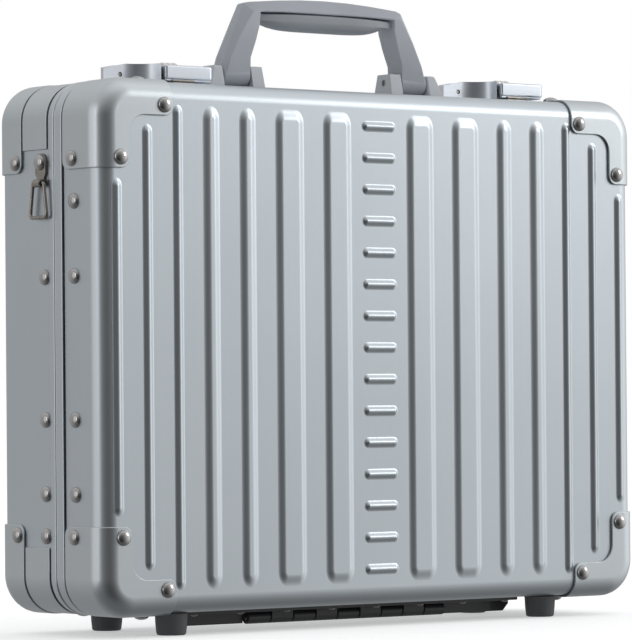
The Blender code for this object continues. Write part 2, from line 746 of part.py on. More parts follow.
# latches
def latch_start(side):
    return side * LATCH_CENTRE - LATCH_LEFT


def latch_body(name, side):
    """The fixed fork of a latch: a floor over the frame's lip, two humped walls and a flare."""
    x0 = latch_start(side)
    end = x0 + LATCH_BODY_LENGTH
    front, back = SEAM + LATCH_BODY_FRONT, SEAM + LATCH_BACK
    base = TOP + FIT_GAP
    floor = base + LIP_PROUD + LATCH_FLOOR
    plan, walls = bmesh.new(), bmesh.new()
    outline = [(x0, front), (end, front), (end, back), (x0 + LATCH_SETBACK, back)]
    add_prism(plan, [(x, y, 0) for x, y in outline], (0, 0, base), (0, 0, floor))
    made = finish(plan, name, BRIGHT)
    low = (base + floor) / 2
    for start, near in ((x0, front), (x0 + LATCH_SETBACK, back - LATCH_WALL)):
        share = (start - x0) / LATCH_HUMP_ALONG
        outline = [(start, low), (end, low), (end, TOP + LATCH_HIGH_END)]
        outline += [(x0 + LATCH_HUMP_ALONG, TOP + LATCH_HUMP)]
        outline += [(start, TOP + LATCH_LOW_END + share * (LATCH_HUMP - LATCH_LOW_END))]
        add_prism(walls, [(x, 0, z) for x, z in outline], (0, near, 0), (0, near + LATCH_WALL, 0))
    boolean(made, finish(walls, f"{name}_walls"), "UNION")
    flare = bmesh.new()
    corner_y = SEAM - FLARE_PAST_SEAM
    outline = [(end, front + LATCH_WALL / 2), (end - FLARE_LENGTH, front + LATCH_WALL / 2)]
    outline += [(end - FLARE_LENGTH, front), (end - FLARE_LENGTH / 4, (front + corner_y) / 2)]
    outline += [(end, corner_y)]
    over_lip = TOP + LIP_PROUD + FIT_GAP
    points = [(x, y, 0) for x, y in outline]
    add_prism(flare, points, (0, 0, over_lip), (0, 0, TOP + LATCH_HIGH_END - FIT_GAP))
    boolean(made, finish(flare, f"{name}_flare"), "UNION")
    boolean(made, lip_room(f"{name}_lip_room", x0 - PAST, end + PAST), "DIFFERENCE")
    bore = bmesh.new()
    x, z = x0 + LATCH_PIN_ALONG, TOP + LATCH_PIN_HEIGHT
    add_rod(bore, (x, front - PAST, z), (x, back + PAST, z), LATCH_PIN_RADIUS + PIN_CLEARANCE, segments=12)
    return boolean(made, finish(bore, f"{name}_bore"), "DIFFERENCE")


def latch_pin(name, side):
    x, z = latch_start(side) + LATCH_PIN_ALONG, TOP + LATCH_PIN_HEIGHT
    bm = bmesh.new()
    ends = SEAM + LATCH_BODY_FRONT + PIN_SUNK, SEAM + LATCH_BACK - PIN_SUNK
    add_rod(bm, (x, ends[0], z), (x, ends[1], z), LATCH_PIN_RADIUS, segments=12)
    return finish(bm, name, STEEL)


def dial_place(side):
    """The middle dial's x, and the axle's y and z."""
    y = SEAM + (LATCH_BACK - HEAD_PAST_SEAM) / 2
    return latch_start(side) + DIAL_ALONG, y, TOP + LEVER_TOP + DIAL_PROUD - DIAL_RADIUS


def latch_lever(name, side):
    """The lever: an arm on the pin between the fork's walls, and the head with the dials' pocket."""
    x0 = latch_start(side)
    head = x0 + LATCH_BODY_LENGTH + HEAD_GAP
    front, back = SEAM - HEAD_PAST_SEAM, SEAM + LATCH_BACK
    made = box(name, (head, front, TOP + LEVER_BOTTOM), (head + HEAD_LENGTH, back, TOP + LEVER_TOP), BRIGHT)
    arm_front = SEAM + LATCH_BODY_FRONT + LATCH_WALL + FIT_GAP
    arm_back = back - LATCH_WALL - FIT_GAP
    x, z = x0 + LATCH_PIN_ALONG, TOP + LATCH_PIN_HEIGHT
    low = (x, arm_front, z - LEVER_END_RADIUS + FIT_GAP)
    arm = box(f"{name}_arm", low, (head + FIT_GAP, arm_back, z + LEVER_END_RADIUS - FIT_GAP))
    boolean(made, arm, "UNION")
    hub, bore = bmesh.new(), bmesh.new()
    add_rod(hub, (x, arm_front, z), (x, arm_back, z), LEVER_END_RADIUS, segments=16)
    boolean(made, finish(hub, f"{name}_hub"), "UNION")
    add_rod(bore, (x, front, z), (x, back, z), LATCH_PIN_RADIUS + PIN_CLEARANCE, segments=12)
    boolean(made, finish(bore, f"{name}_bore"), "DIFFERENCE")
    dial_x, dial_y, dial_z = dial_place(side)
    half, room = DIAL_PITCH * DIALS / 2 + FIT_GAP, DIAL_RADIUS + 2 * FIT_GAP
    low = (dial_x - half, dial_y - room, TOP)
    pocket = box(f"{name}_pocket", low, (dial_x + half, dial_y + room, TOP + LEVER_TOP + PAST))
    boolean(made, pocket, "DIFFERENCE")
    axle = bmesh.new()
    start, end = (dial_x - half - AXLE_SEAT, dial_y, dial_z), (dial_x + half + AXLE_SEAT, dial_y, dial_z)
    add_rod(axle, start, end, AXLE_RADIUS + FIT_GAP, segments=10)
    return boolean(made, finish(axle, f"{name}_axle_bore"), "DIFFERENCE")


def dial_axle(name, side):
    x, y, z = dial_place(side)
    reach = DIAL_PITCH * DIALS / 2 + AXLE_SEAT
    bm = bmesh.new()
    add_rod(bm, (x - reach, y, z), (x + reach, y, z), AXLE_RADIUS, segments=10)
    return finish(bm, name, STEEL)


def dial(name, side, number):
    """One combination wheel with a bore for its axle."""
    x, y, z = dial_place(side)
    x += (number - (DIALS - 1) / 2) * DIAL_PITCH
    bm, bore = bmesh.new(), bmesh.new()
    add_rod(bm, (x - DIAL_WIDTH / 2, y, z), (x + DIAL_WIDTH / 2, y, z), DIAL_RADIUS, segments=16)
    made = finish(bm, name, STEEL)
    add_rod(bore, (x - DIAL_WIDTH, y, z), (x + DIAL_WIDTH, y, z), AXLE_RADIUS + FIT_GAP, segments=10)
    return boolean(made, finish(bore, f"{name}_bore"), "DIFFERENCE")


def latch_hasp(name, side):
    """The plate under the lever's head that reaches over the seam, above the lid's keeper."""
    x = latch_start(side) + DIAL_ALONG
    high = TOP + LEVER_BOTTOM - FIT_GAP
    low = (x - HASP_WIDTH / 2, SEAM - HASP_PAST_SEAM, high - HASP_PLATE)
    return box(name, low, (x + HASP_WIDTH / 2, SEAM + LATCH_BACK - PIN_SUNK, high), STEEL)


def latch_keeper(name, side):
    x = latch_start(side) + DIAL_ALONG
    low = (x - HASP_WIDTH / 2, SEAM - HASP_PAST_SEAM - FIT_GAP, TOP + FIT_GAP)
    return box(name, low, (x + HASP_WIDTH / 2, SEAM - 2 * SEAM_HALF_GAP, TOP + KEEPER_HEIGHT), STEEL)


# strap rings
EYE_Z = TOP - EYE_FROM_TOP
EYE_OUT = SIDE + FIT_GAP + EYE_RADIUS
TAB_Y = SEAM + TAB_FROM_SEAM


def strap_bracket(name, side):
    """A tab riveted to the back shell's side, rolled at its end into an eye for the ring."""
    low_x, high_x = sorted((side * (SIDE + FIT_GAP), side * (SIDE + FIT_GAP + TAB_PLATE)))
    neck, top = EYE_Z + EYE_RADIUS, TOP - TAB_TOP
    made = box(name, (low_x, TAB_Y - TAB_WIDTH / 2, neck), (high_x, TAB_Y + TAB_WIDTH / 2, top), STEEL)
    eye, bore = bmesh.new(), bmesh.new()
    x = side * EYE_OUT
    ends = TAB_Y - EYE_WIDTH / 2, TAB_Y + EYE_WIDTH / 2
    strip = box(f"{name}_strip", (low_x, ends[0], EYE_Z), (high_x, ends[1], neck + TAB_PLATE))
    boolean(made, strip, "UNION")
    add_rod(eye, (x, ends[0], EYE_Z), (x, ends[1], EYE_Z), EYE_RADIUS, segments=16)
    boolean(made, finish(eye, f"{name}_eye"), "UNION")
    radius = WIRE_RADIUS + WIRE_CLEARANCE
    add_rod(bore, (x, ends[0] - PAST, EYE_Z), (x, ends[1] + PAST, EYE_Z), radius, segments=12)
    boolean(made, finish(bore, f"{name}_bore"), "DIFFERENCE")
    seat = (side * SIDE, TAB_Y, top - TAB_RIVET_DOWN)
    lift = FIT_GAP + TAB_PLATE / 2
    rivet = rivet_group(f"{name}_rivet", [(seat, (side, 0, 0))], lift, lift + SHEET)
    return boolean(made, rivet, "UNION"), (seat, (side, 0, 0))


def strap_ring(name, side):
    """A bent wire loop, hanging from the eye, wider at its foot."""
    x = side * EYE_OUT
    top, foot_y, drop = RING_TOP_WIDTH / 2, RING_BOTTOM_WIDTH / 2, EYE_Z - RING_DROP
    wire = bpy.data.curves.new(f"{name}_wire", "CURVE")
    wire.dimensions = "3D"
    wire.bevel_depth = WIRE_RADIUS
    wire.bevel_resolution = 2
    wire.use_fill_caps = True
    corners = [(top, EYE_Z), (foot_y, drop), (-foot_y, drop), (-top, EYE_Z)]
    points = []
    for k, (y, z) in enumerate(corners):
        here = Vector((y, z))
        before = (Vector(corners[k - 1]) - here).normalized() * RING_BEND
        after = (Vector(corners[(k + 1) % 4]) - here).normalized() * RING_BEND
        for step in range(RING_BEND_STEPS + 1):
            t = step / RING_BEND_STEPS
            points.append(here + before * (1 - t) ** 2 + after * t ** 2)
    spline = wire.splines.new("POLY")
    spline.points.add(len(points) - 1)
    for point, (y, z) in zip(spline.points, points):
        point.co = (x, TAB_Y + y, z, 1.0)
    spline.use_cyclic_u = True
    made = bpy.data.objects.new(name, wire)
    case.objects.link(made)
    wire.materials.append(material(STEEL, name))
    return made


# lid stays
STAY_UP = math.sqrt(STAY_REACH**2 - STAY_FROM_SEAM**2)
STAY_Z = HINGE_Z + STAY_UP
STAY_CLOSED = 2 * math.asin(STAY_FROM_SEAM / STAY_REACH)
STAY_NEAR = 2 * STAY_FROM_SEAM
STAY_FAR = 2 * STAY_REACH * math.sin((STAY_CLOSED + LID_OPENING) / 2)
STAY_SIDE = SIDE - LINING_IN - LINING - STAY_FROM_LINING
STUD_IN = SIDE - LINING_IN - LINING - FIT_GAP


def stay_stud(name, side, y):
    """A stud on the lining's side wall: a shank through the stay and a flat head."""
    bm = bmesh.new()
    inner = STAY_SIDE - STAY_PLATE - 2 * FIT_GAP
    add_rod(bm, (side * STUD_IN, y, STAY_Z), (side * inner, y, STAY_Z), STUD_RADIUS, segments=12)
    made = finish(bm, name, STEEL)
    head = bmesh.new()
    start, end = (side * (inner + FIT_GAP), y, STAY_Z), (side * (inner - STUD_HEAD), y, STAY_Z)
    add_rod(head, start, end, 2 * STUD_RADIUS, segments=14)
    return boolean(made, finish(head, f"{name}_head"), "UNION")


def lid_stay(name, side):
    """A slotted flat stay: it turns on the lid's stud and slides on the back's."""
    x_low, x_high = sorted((side * (STAY_SIDE - STAY_PLATE), side * STAY_SIDE))
    start = SEAM - STAY_FROM_SEAM
    half = STAY_WIDTH / 2
    slot = STUD_RADIUS + STUD_CLEARANCE
    end = STAY_FAR + slot + STAY_END_WALL
    outline = [(start + y, STAY_Z + z) for y, z in arc((0, 0), half, 90, 270, 6)]
    outline += [(start + end - half + y, STAY_Z + z) for y, z in arc((0, 0), half, -90, 90, 6)]
    bm = bmesh.new()
    add_prism(bm, [(x_low, y, z) for y, z in outline], (0, 0, 0), (x_high - x_low, 0, 0))
    made = finish(bm, name, STEEL)
    cut = bmesh.new()
    track = [(start + STAY_NEAR + y, STAY_Z + z) for y, z in arc((0, 0), slot, 90, 270, 6)]
    track += [(start + STAY_FAR + y, STAY_Z + z) for y, z in arc((0, 0), slot, -90, 90, 6)]
    low, high = x_low - PAST, x_high + PAST
    add_prism(cut, [(low, y, z) for y, z in track], (0, 0, 0), (high - low, 0, 0))
    add_rod(cut, (low, start, STAY_Z), (high, start, STAY_Z), slot, segments=12)
    return boolean(made, finish(cut, f"{name}_slot"), "DIFFERENCE")


# joints
def pivot(name, place, pieces):
    """An empty on a joint's axis, which carries the pieces that move with it."""
    made = bpy.data.objects.new(name, None)
    made.empty_display_size = 0.02
    made.location = place
    case.objects.link(made)
    bpy.context.view_layer.update()
    for piece in pieces:
        moved = bpy.data.objects[piece]
        moved.parent = made
        moved.matrix_parent_inverse = made.matrix_world.inverted()
    return made


# the whole case
clear_scene()
case = make_collection("attache_case")
cutters = make_collection("cutters")

SIDES = (("left", -1), ("right", 1))
ENDS = (("bottom", -1), ("top", 1))

lid_wall, back_wall = SEAM - LID_RIVET_FROM_SEAM, SEAM + BACK_RIVET_FROM_SEAM
lid_side_rivets = side_rivets(lid_wall, LID_SIDE_RIVETS)
back_side_rivets = side_rivets(back_wall, (RIVET_ALONG - CASE_HEIGHT / 2, *BACK_SIDE_RIVETS))
lid_holes, back_holes = list(lid_side_rivets), []

for side_name, side in SIDES:
    for end_name, end in ENDS:
        place = f"{end_name}_{side_name}"
        start = SEAM - SEAM_HALF_GAP - FIT_GAP
        _, seats = corner(f"front_corner_{place}", side, end, FRONT, start, lid_wall)
        lid_holes += seats
        start = SEAM + BACK_CORNER_FROM_SEAM
        _, seats = corner(f"back_corner_{place}", side, end, BACK, start, SEAM + BACK_CORNER_RIVET)
        back_holes += seats
        wrap_plate(f"wrap_plate_{place}", side, end)
    foot_x = side * (SIDE - FOOT_FROM_SIDE)
    foot(f"front_foot_{side_name}", foot_x, SEAM - LID_FOOT_FROM_SEAM)
    foot(f"back_foot_{side_name}", foot_x, SEAM + BACK_FOOT_FROM_SEAM)
    handle_bracket(f"handle_bracket_{side_name}", side)
    handle_pin(f"handle_pin_{side_name}", side)
    latch_body(f"latch_body_{side_name}", side)
    latch_pin(f"latch_pin_{side_name}", side)
    latch_lever(f"latch_lever_{side_name}", side)
    latch_hasp(f"latch_hasp_{side_name}", side)
    latch_keeper(f"latch_keeper_{side_name}", side)
    dial_axle(f"dial_axle_{side_name}", side)
    for number in range(DIALS):
        dial(f"dial_{side_name}_{number + 1}", side, number)
    _, seat = strap_bracket(f"strap_bracket_{side_name}", side)
    back_holes.append(seat)
    strap_ring(f"strap_ring_{side_name}", side)
    stay_stud(f"stay_stud_{side_name}", side, SEAM + STAY_FROM_SEAM)
    stay_stud(f"stay_pivot_{side_name}", side, SEAM - STAY_FROM_SEAM)
    lid_stay(f"lid_stay_{side_name}", side)

shell("front_shell", FRONT, lid_holes)
shell("back_shell", BACK, back_holes + back_side_rivets)
lid_frame(lid_side_rivets)
back_frame(back_side_rivets)
gasket()
lining("front_lining", FRONT)
lining("back_lining", BACK)
hinge_leaf("hinge_leaf_front", -1, knuckle_spans(1))
hinge_guards(hinge_leaf("hinge_leaf_back", 1, knuckle_spans(0)))
pin = bmesh.new()
add_rod(pin, (-BARREL_HALF, SEAM, HINGE_Z), (BARREL_HALF, SEAM, HINGE_Z), PIN_RADIUS, segments=12)
finish(pin, "hinge_pin", STEEL)
handle_frame()
handle_grip()

corners = [f"front_corner_{end}_{side}" for end, _ in ENDS for side, _ in SIDES]
lid_pieces = ["front_shell", "front_frame", "gasket", "front_lining", "hinge_leaf_front"] + corners
for side_name, side in SIDES:
    lid_pieces += [f"{piece}_{side_name}" for piece in ("front_foot", "latch_keeper", "stay_pivot")]
pivot("lid_pivot", (0, SEAM, HINGE_Z), lid_pieces)
handle_pieces = ["handle_frame", "handle_grip", "handle_pin_left", "handle_pin_right"]
pivot("handle_pivot", (0, HANDLE_Y, HANDLE_Z), handle_pieces)
for side_name, side in SIDES:
    latch_x, latch_z = latch_start(side) + LATCH_PIN_ALONG, TOP + LATCH_PIN_HEIGHT
    lever_pieces = [f"latch_{piece}_{side_name}" for piece in ("lever", "pin", "hasp")]
    lever_pieces.append(f"dial_axle_{side_name}")
    latch = pivot(f"latch_pivot_{side_name}", (latch_x, SEAM + LATCH_BACK, latch_z), lever_pieces)
    dials = [f"dial_{side_name}_{number + 1}" for number in range(DIALS)]
    dial_pivot = pivot(f"dial_pivot_{side_name}", dial_place(side), dials)
    dial_pivot.parent = latch
    dial_pivot.matrix_parent_inverse = latch.matrix_world.inverted()
    pivot(f"ring_pivot_{side_name}", (side * EYE_OUT, TAB_Y, EYE_Z), [f"strap_ring_{side_name}"])
    stay_place = (side * STAY_SIDE, SEAM - STAY_FROM_SEAM, STAY_Z)
    pivot(f"stay_pivot_point_{side_name}", stay_place, [f"lid_stay_{side_name}"])
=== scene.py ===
import json
import math

import bmesh
import bpy
from mathutils import Matrix, Vector


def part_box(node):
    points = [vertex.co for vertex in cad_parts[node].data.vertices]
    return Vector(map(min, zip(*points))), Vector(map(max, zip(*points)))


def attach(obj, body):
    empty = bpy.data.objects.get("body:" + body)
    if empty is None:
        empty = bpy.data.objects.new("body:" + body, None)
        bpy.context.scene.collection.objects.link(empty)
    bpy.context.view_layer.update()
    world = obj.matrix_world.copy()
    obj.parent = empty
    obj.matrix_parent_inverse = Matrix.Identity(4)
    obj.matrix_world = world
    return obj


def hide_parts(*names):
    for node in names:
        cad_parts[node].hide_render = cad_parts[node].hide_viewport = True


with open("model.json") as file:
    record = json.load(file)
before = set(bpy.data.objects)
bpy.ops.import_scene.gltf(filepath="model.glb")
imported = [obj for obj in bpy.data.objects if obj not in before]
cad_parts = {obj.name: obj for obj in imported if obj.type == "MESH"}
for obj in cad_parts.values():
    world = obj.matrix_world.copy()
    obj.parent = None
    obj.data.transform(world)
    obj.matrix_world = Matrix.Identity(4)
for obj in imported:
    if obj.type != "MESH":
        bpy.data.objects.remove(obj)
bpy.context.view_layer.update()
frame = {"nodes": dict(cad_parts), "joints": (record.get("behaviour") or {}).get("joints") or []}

joints = {joint["name"]: joint for joint in frame["joints"]}
sides = (("left", -1), ("right", 1))
ends = (("bottom", -1), ("top", 1))
print("frame loaded:", len(frame["nodes"]), "nodes")

# places that everything else is worked out from
case = {
    "ribProud": 0.0022,
    "sheet": 0.0016,
    "cornerRadius": 0.024,
    "edgeRadius": 0.012,
    "seamHalf": 0.0006,
    "gap": 0.0003,
    "cornerSteps": 14,
    "edgeSteps": 8,
}
lidLow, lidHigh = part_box("front_shell")
backLow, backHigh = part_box("back_shell")
seam = joints["lid_hinge"]["pos_m"][1]
hingeZ = joints["lid_hinge"]["pos_m"][2]
halfWidth = lidHigh.x
caseBottom, caseTop = lidLow.z, lidHigh.z
caseMiddle = (caseBottom + caseTop) / 2
halfHeight = (caseTop - caseBottom) / 2
lidFace = lidLow.y + case["ribProud"]
backFace = backHigh.y - case["ribProud"]


class Wire:
    # one output of a shader node; arithmetic on it adds Math nodes
    def __init__(self, tree, socket):
        self.tree = tree
        self.socket = socket

    def math(self, operation, *values):
        return shaderNode(self.tree, "ShaderNodeMath", {"operation": operation}, dict(enumerate(values)))

    def __add__(self, other):
        return self.math("ADD", self, other)

    def __radd__(self, other):
        return self.math("ADD", other, self)

    def __sub__(self, other):
        return self.math("SUBTRACT", self, other)

    def __rsub__(self, other):
        return self.math("SUBTRACT", other, self)

    def __mul__(self, other):
        return self.math("MULTIPLY", self, other)

    def __rmul__(self, other):
        return self.math("MULTIPLY", other, self)

    def __pow__(self, other):
        return self.math("POWER", self, other)


def shaderNode(tree, kind, settings=None, sockets=None, output=0):
    made = tree.nodes.new(kind)
    for name, value in (settings or {}).items():
        if name == "stops":
            ramp = made.color_ramp
            while len(ramp.elements) < len(value):
                ramp.elements.new(0.5)
            for element, (place, colour) in zip(ramp.elements, value):
                element.position = place
                element.color = colour if isinstance(colour, tuple) else (colour, colour, colour, 1)
        else:
            setattr(made, name, value)
    for name, value in (sockets or {}).items():
        if isinstance(value, Wire):
            tree.links.new(value.socket, made.inputs[name])
        else:
            made.inputs[name].default_value = value
    return Wire(tree, made.outputs[output])


def startMaterial(name, colour, roughness, metallic, **fixed):
    material = bpy.data.materials.new(name)
    material.use_nodes = True
    tree = material.node_tree
    shader = tree.nodes["Principled BSDF"]
    shader.inputs["Base Color"].default_value = (*colour, 1)
    shader.inputs["Roughness"].default_value = roughness
    shader.inputs["Metallic"].default_value = metallic
    for socket, value in fixed.items():
        shader.inputs[socket.replace("_", " ")].default_value = value
    material.diffuse_color = (*colour, 1)
    return material, tree, shader


def feed(tree, shader, **links):
    for socket, wire in links.items():
        tree.links.new(wire.socket, shader.inputs[socket.replace("_", " ")])


def place(tree, scale=(1, 1, 1), turn=(0, 0, 0)):
    spot = shaderNode(tree, "ShaderNodeTexCoord", output=3)
    return shaderNode(tree, "ShaderNodeMapping", None, {"Vector": spot, "Scale": scale, "Rotation": turn})


def noise(tree, spot, scale, detail=2.0, rough=0.5):
    sockets = {"Vector": spot, "Scale": scale, "Detail": detail, "Roughness": rough}
    return shaderNode(tree, "ShaderNodeTexNoise", None, sockets)


def ramp(tree, value, low, high, start=0.0, end=1.0):
    sockets = {"Value": value, "From Min": low, "From Max": high, "To Min": start, "To Max": end}
    return shaderNode(tree, "ShaderNodeMapRange", {"clamp": True}, sockets)


def tint(tree, factor, first, second):
    sockets = {0: factor, 6: (*first, 1), 7: (*second, 1)}
    return shaderNode(tree, "ShaderNodeMix", {"data_type": "RGBA"}, sockets, output=2)


def bump(tree, height, distance, strength=1.0):
    sockets = {"Height": height, "Distance": distance, "Strength": strength}
    return shaderNode(tree, "ShaderNodeBump", None, sockets)


def anodised(name, colour, grain, roughness=0.36):
    # satin anodised metal: a fine blasted grain, faint drawing lines along the sheet, cloudy sheen, light scuffs
    material, tree, shader = startMaterial(name, colour, roughness, 1.0)
    spot = place(tree)
    cloud = noise(tree, spot, 9, 3)
    fine = noise(tree, spot, 2600, 2, 0.7)
    drawn = noise(tree, place(tree, grain), 1, 3, 0.6)
    streak = noise(tree, place(tree, (70, 70, 900), (0.3, 0.5, 0.2)), 1, 2)
    scuff = ramp(tree, streak, 0.70, 0.78) * ramp(tree, noise(tree, spot, 22, 2), 0.52, 0.66)
    dark = tuple(channel * 0.93 for channel in colour)
    light = tuple(min(1.0, channel * 1.05) for channel in colour)
    feed(tree, shader, Base_Color=tint(tree, cloud * 0.7 + drawn * 0.3, dark, light))
    feed(tree, shader, Roughness=roughness - 0.05 + cloud * 0.07 + fine * 0.05 + scuff * 0.14)
    feed(tree, shader, Normal=bump(tree, fine * 0.6 + drawn * 0.5 - scuff * 0.3, 0.00005, 0.35))
    return material


def brushed(name, colour, along, roughness=0.26, depth=0.30):
    # bright cut metal with fine brush lines that run along one axis
    material, tree, shader = startMaterial(name, colour, roughness, 1.0)
    across = tuple(14 if axis == along else 1900 for axis in range(3))
    line = noise(tree, place(tree, across), 1, 4, 0.65)
    broad = noise(tree, place(tree, tuple(value / 5 for value in across)), 1, 2)
    smudge = noise(tree, place(tree), 55, 2)
    dark = tuple(channel * 0.84 for channel in colour)
    feed(tree, shader, Base_Color=tint(tree, line * 0.6 + broad * 0.4, dark, colour))
    feed(tree, shader, Roughness=roughness - 0.08 + line * 0.16 + smudge * 0.08)
    feed(tree, shader, Normal=bump(tree, line + broad * 0.6, 0.00005, depth))
    return material


def polished(name, colour, roughness, wear=0.10):
    # plated metal: mirror-like with fine swirl marks and duller rubbed patches
    material, tree, shader = startMaterial(name, colour, roughness, 1.0)
    spot = place(tree)
    swirl = noise(tree, spot, 700, 4, 0.7)
    patch = ramp(tree, noise(tree, spot, 120, 3), 0.42, 0.68)
    dark = tuple(channel * 0.72 for channel in colour)
    feed(tree, shader, Base_Color=tint(tree, patch * 0.45, colour, dark))
    feed(tree, shader, Roughness=roughness + patch * wear + swirl * 0.06)
    feed(tree, shader, Normal=bump(tree, swirl, 0.00004, 0.25))
    return material


def moulded(name, colour, roughness, grainSize=1500, depth=0.00006, coat=0.0):
    # injection-moulded plastic or rubber with a spark-eroded texture
    material, tree, shader = startMaterial(name, colour, roughness, 0.0, Coat_Weight=coat)
    spot = place(tree)
    grain = shaderNode(tree, "ShaderNodeTexVoronoi", None, {"Vector": spot, "Scale": grainSize})
    cloud = noise(tree, spot, 35, 3)
    dark = tuple(channel * 0.88 for channel in colour)
    light = tuple(channel * 1.10 for channel in colour)
    feed(tree, shader, Base_Color=tint(tree, cloud, dark, light))
    feed(tree, shader, Roughness=roughness - 0.06 + cloud * 0.10 + grain * 0.05)
    feed(tree, shader, Normal=bump(tree, grain, depth, 0.5))
    return material


def woven(name, colour, thread):
    # close plain weave: two sets of threads that pass over each other
    material, tree, shader = startMaterial(name, colour, 0.85, 0.0, Sheen_Weight=0.25, Sheen_Roughness=0.5)
    spot = place(tree, (1 / thread, 1 / thread, 1 / thread))
    parts = tree.nodes.new("ShaderNodeSeparateXYZ")
    tree.links.new(spot.socket, parts.inputs[0])
    x, y, z = (Wire(tree, output) for output in parts.outputs)
    waves = [axis.math("SINE", axis * math.pi) for axis in (x, y + 0.25, z)]
    weave = waves[0] * waves[2] + waves[1] * (waves[0] + waves[2]) * 0.5
    fuzz = noise(tree, place(tree), 900, 3)
    dark = tuple(channel * 0.45 for channel in colour)
    feed(tree, shader, Base_Color=tint(tree, ramp(tree, weave + fuzz * 0.5, -0.8, 1.2), dark, colour))
    feed(tree, shader, Normal=bump(tree, weave * 0.5 + fuzz * 0.6, 0.0002, 0.6))
    return material


looks = {
    "sheet": anodised("satinAluminiumSheet", (0.585, 0.635, 0.672), (900, 900, 6)),
    "press": anodised("satinAluminiumPressing", (0.60, 0.642, 0.668), (500, 500, 500), 0.34),
    "rail": anodised("satinAluminiumRail", (0.60, 0.645, 0.68), (8, 1400, 8), 0.32),
    "latch": brushed("brushedLatchAluminium", (0.72, 0.76, 0.82), 0, 0.30, 0.12),
    "rivet": polished("rivetNickel", (0.50, 0.49, 0.485), 0.07, 0.05),
    "dial": polished("dialNickel", (0.80, 0.79, 0.77), 0.22),
    # dark nickel for pins, rivets, rings, tabs and keepers; on the hasp this dark colour is also painted shade under
    # the lever head
    "dark": polished("darkNickel", (0.36, 0.33, 0.30), 0.24, 0.16),
    "steel": brushed("zincSteel", (0.48, 0.48, 0.49), 2, 0.34),
    "hinge": moulded("blackHingePaint", (0.014, 0.015, 0.017), 0.42, 1100, 0.00005, 0.2),
    "foot": moulded("footRubber", (0.055, 0.059, 0.064), 0.60, 900, 0.0001),
    "seal": moulded("gasketRubber", (0.012, 0.012, 0.013), 0.7, 1200, 0.0001),
    "handle": moulded("handlePlastic", (0.37, 0.395, 0.435), 0.44),
    "bracket": moulded("bracketPlastic", (0.52, 0.55, 0.585), 0.44),
    "grip": moulded("gripPlastic", (0.24, 0.262, 0.286), 0.38, 1700, 0.00004),
    "cloth": woven("liningCloth", (0.022, 0.023, 0.026), 0.0009),
}
print("materials made:", len(looks))


def finishPiece(name, bm, body, look, nodes=(), sharp=32, bevel=None):
    bmesh.ops.remove_doubles(bm, verts=bm.verts, dist=1e-6)
    bmesh.ops.recalc_face_normals(bm, faces=bm.faces)
    mesh = bpy.data.meshes.new(name)
    bm.to_mesh(mesh)
    bm.free()
    mesh.shade_smooth()
    mesh.set_sharp_from_angle(angle=math.radians(sharp))
    piece = bpy.data.objects.new(name, mesh)
    bpy.context.scene.collection.objects.link(piece)
    mesh.materials.append(looks[look])
    if bevel:
        rounding = piece.modifiers.new("rounding", "BEVEL")
        rounding.width = bevel
        rounding.segments = 2
        rounding.limit_method = "ANGLE"
        rounding.angle_limit = math.radians(50)
    weighted = piece.modifiers.new("weighted", "WEIGHTED_NORMAL")
    weighted.keep_sharp = True
    weighted.weight = 80
    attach(piece, body)
    if nodes:
        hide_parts(*nodes)
    return piece


def arcPoints(centre, radius, start, end, steps):
    angles = [math.radians(start + (end - start) * step / steps) for step in range(steps + 1)]
    return [(centre[0] + radius * math.cos(a), centre[1] + radius * math.sin(a)) for a in angles]


def addLoop(bm, points, closed=True):
    verts = [bm.verts.new(point) for point in points]
    pairs = list(zip(verts, verts[1:])) + ([(verts[-1], verts[0])] if closed else [])
    return [bm.edges.new(pair) for pair in pairs]


def softenEdges(bm, edges, width, segments=3):
    return bmesh.ops.bevel(
        bm, geom=edges, offset=width, offset_type="OFFSET", segments=segments,
        profile=0.5, affect="EDGES", material=-1, clamp_overlap=True,
    )


def softBlock(bm, low, high, width, segments=3):
    size = Vector(high) - Vector(low)
    where = Matrix.Translation((Vector(low) + Vector(high)) / 2) @ Matrix.Diagonal((*size, 1))
    verts = bmesh.ops.create_cube(bm, size=1, matrix=where)["verts"]
    edges = list({edge for vert in verts for edge in vert.link_edges})
    softenEdges(bm, edges, min(width, min(size) * 0.49), segments)


def softPrism(bm, points, along, width, segments=2):
    # a flat outline pushed along a vector, with its two rims rounded
    face = bm.faces.new([bm.verts.new(point) for point in points])
    raised = bmesh.ops.extrude_face_region(bm, geom=[face], use_keep_orig=True)["geom"]
    bmesh.ops.translate(bm, verts=[item for item in raised if isinstance(item, bmesh.types.BMVert)], vec=along)
    top = next(item for item in raised if isinstance(item, bmesh.types.BMFace))
    if width:
        softenEdges(bm, list(face.edges) + list(top.edges), width, segments)


def addTurned(bm, start, direction, profile, steps=24):
    # spins a (radius, distance along) profile about an axis; a radius of 0 closes the pole
    axis = Vector(direction).normalized()
    across = axis.orthogonal().normalized()
    points = [Vector(start) + axis * along + across * radius for radius, along in profile]
    edges = addLoop(bm, points, closed=False)
    verts = list({vert for edge in edges for vert in edge.verts})
    bmesh.ops.spin(
        bm, geom=verts + edges, cent=start, axis=axis, angle=math.tau, steps=steps, use_merge=True, use_duplicate=False
    )
    bmesh.ops.remove_doubles(bm, verts=bm.verts, dist=1e-6)


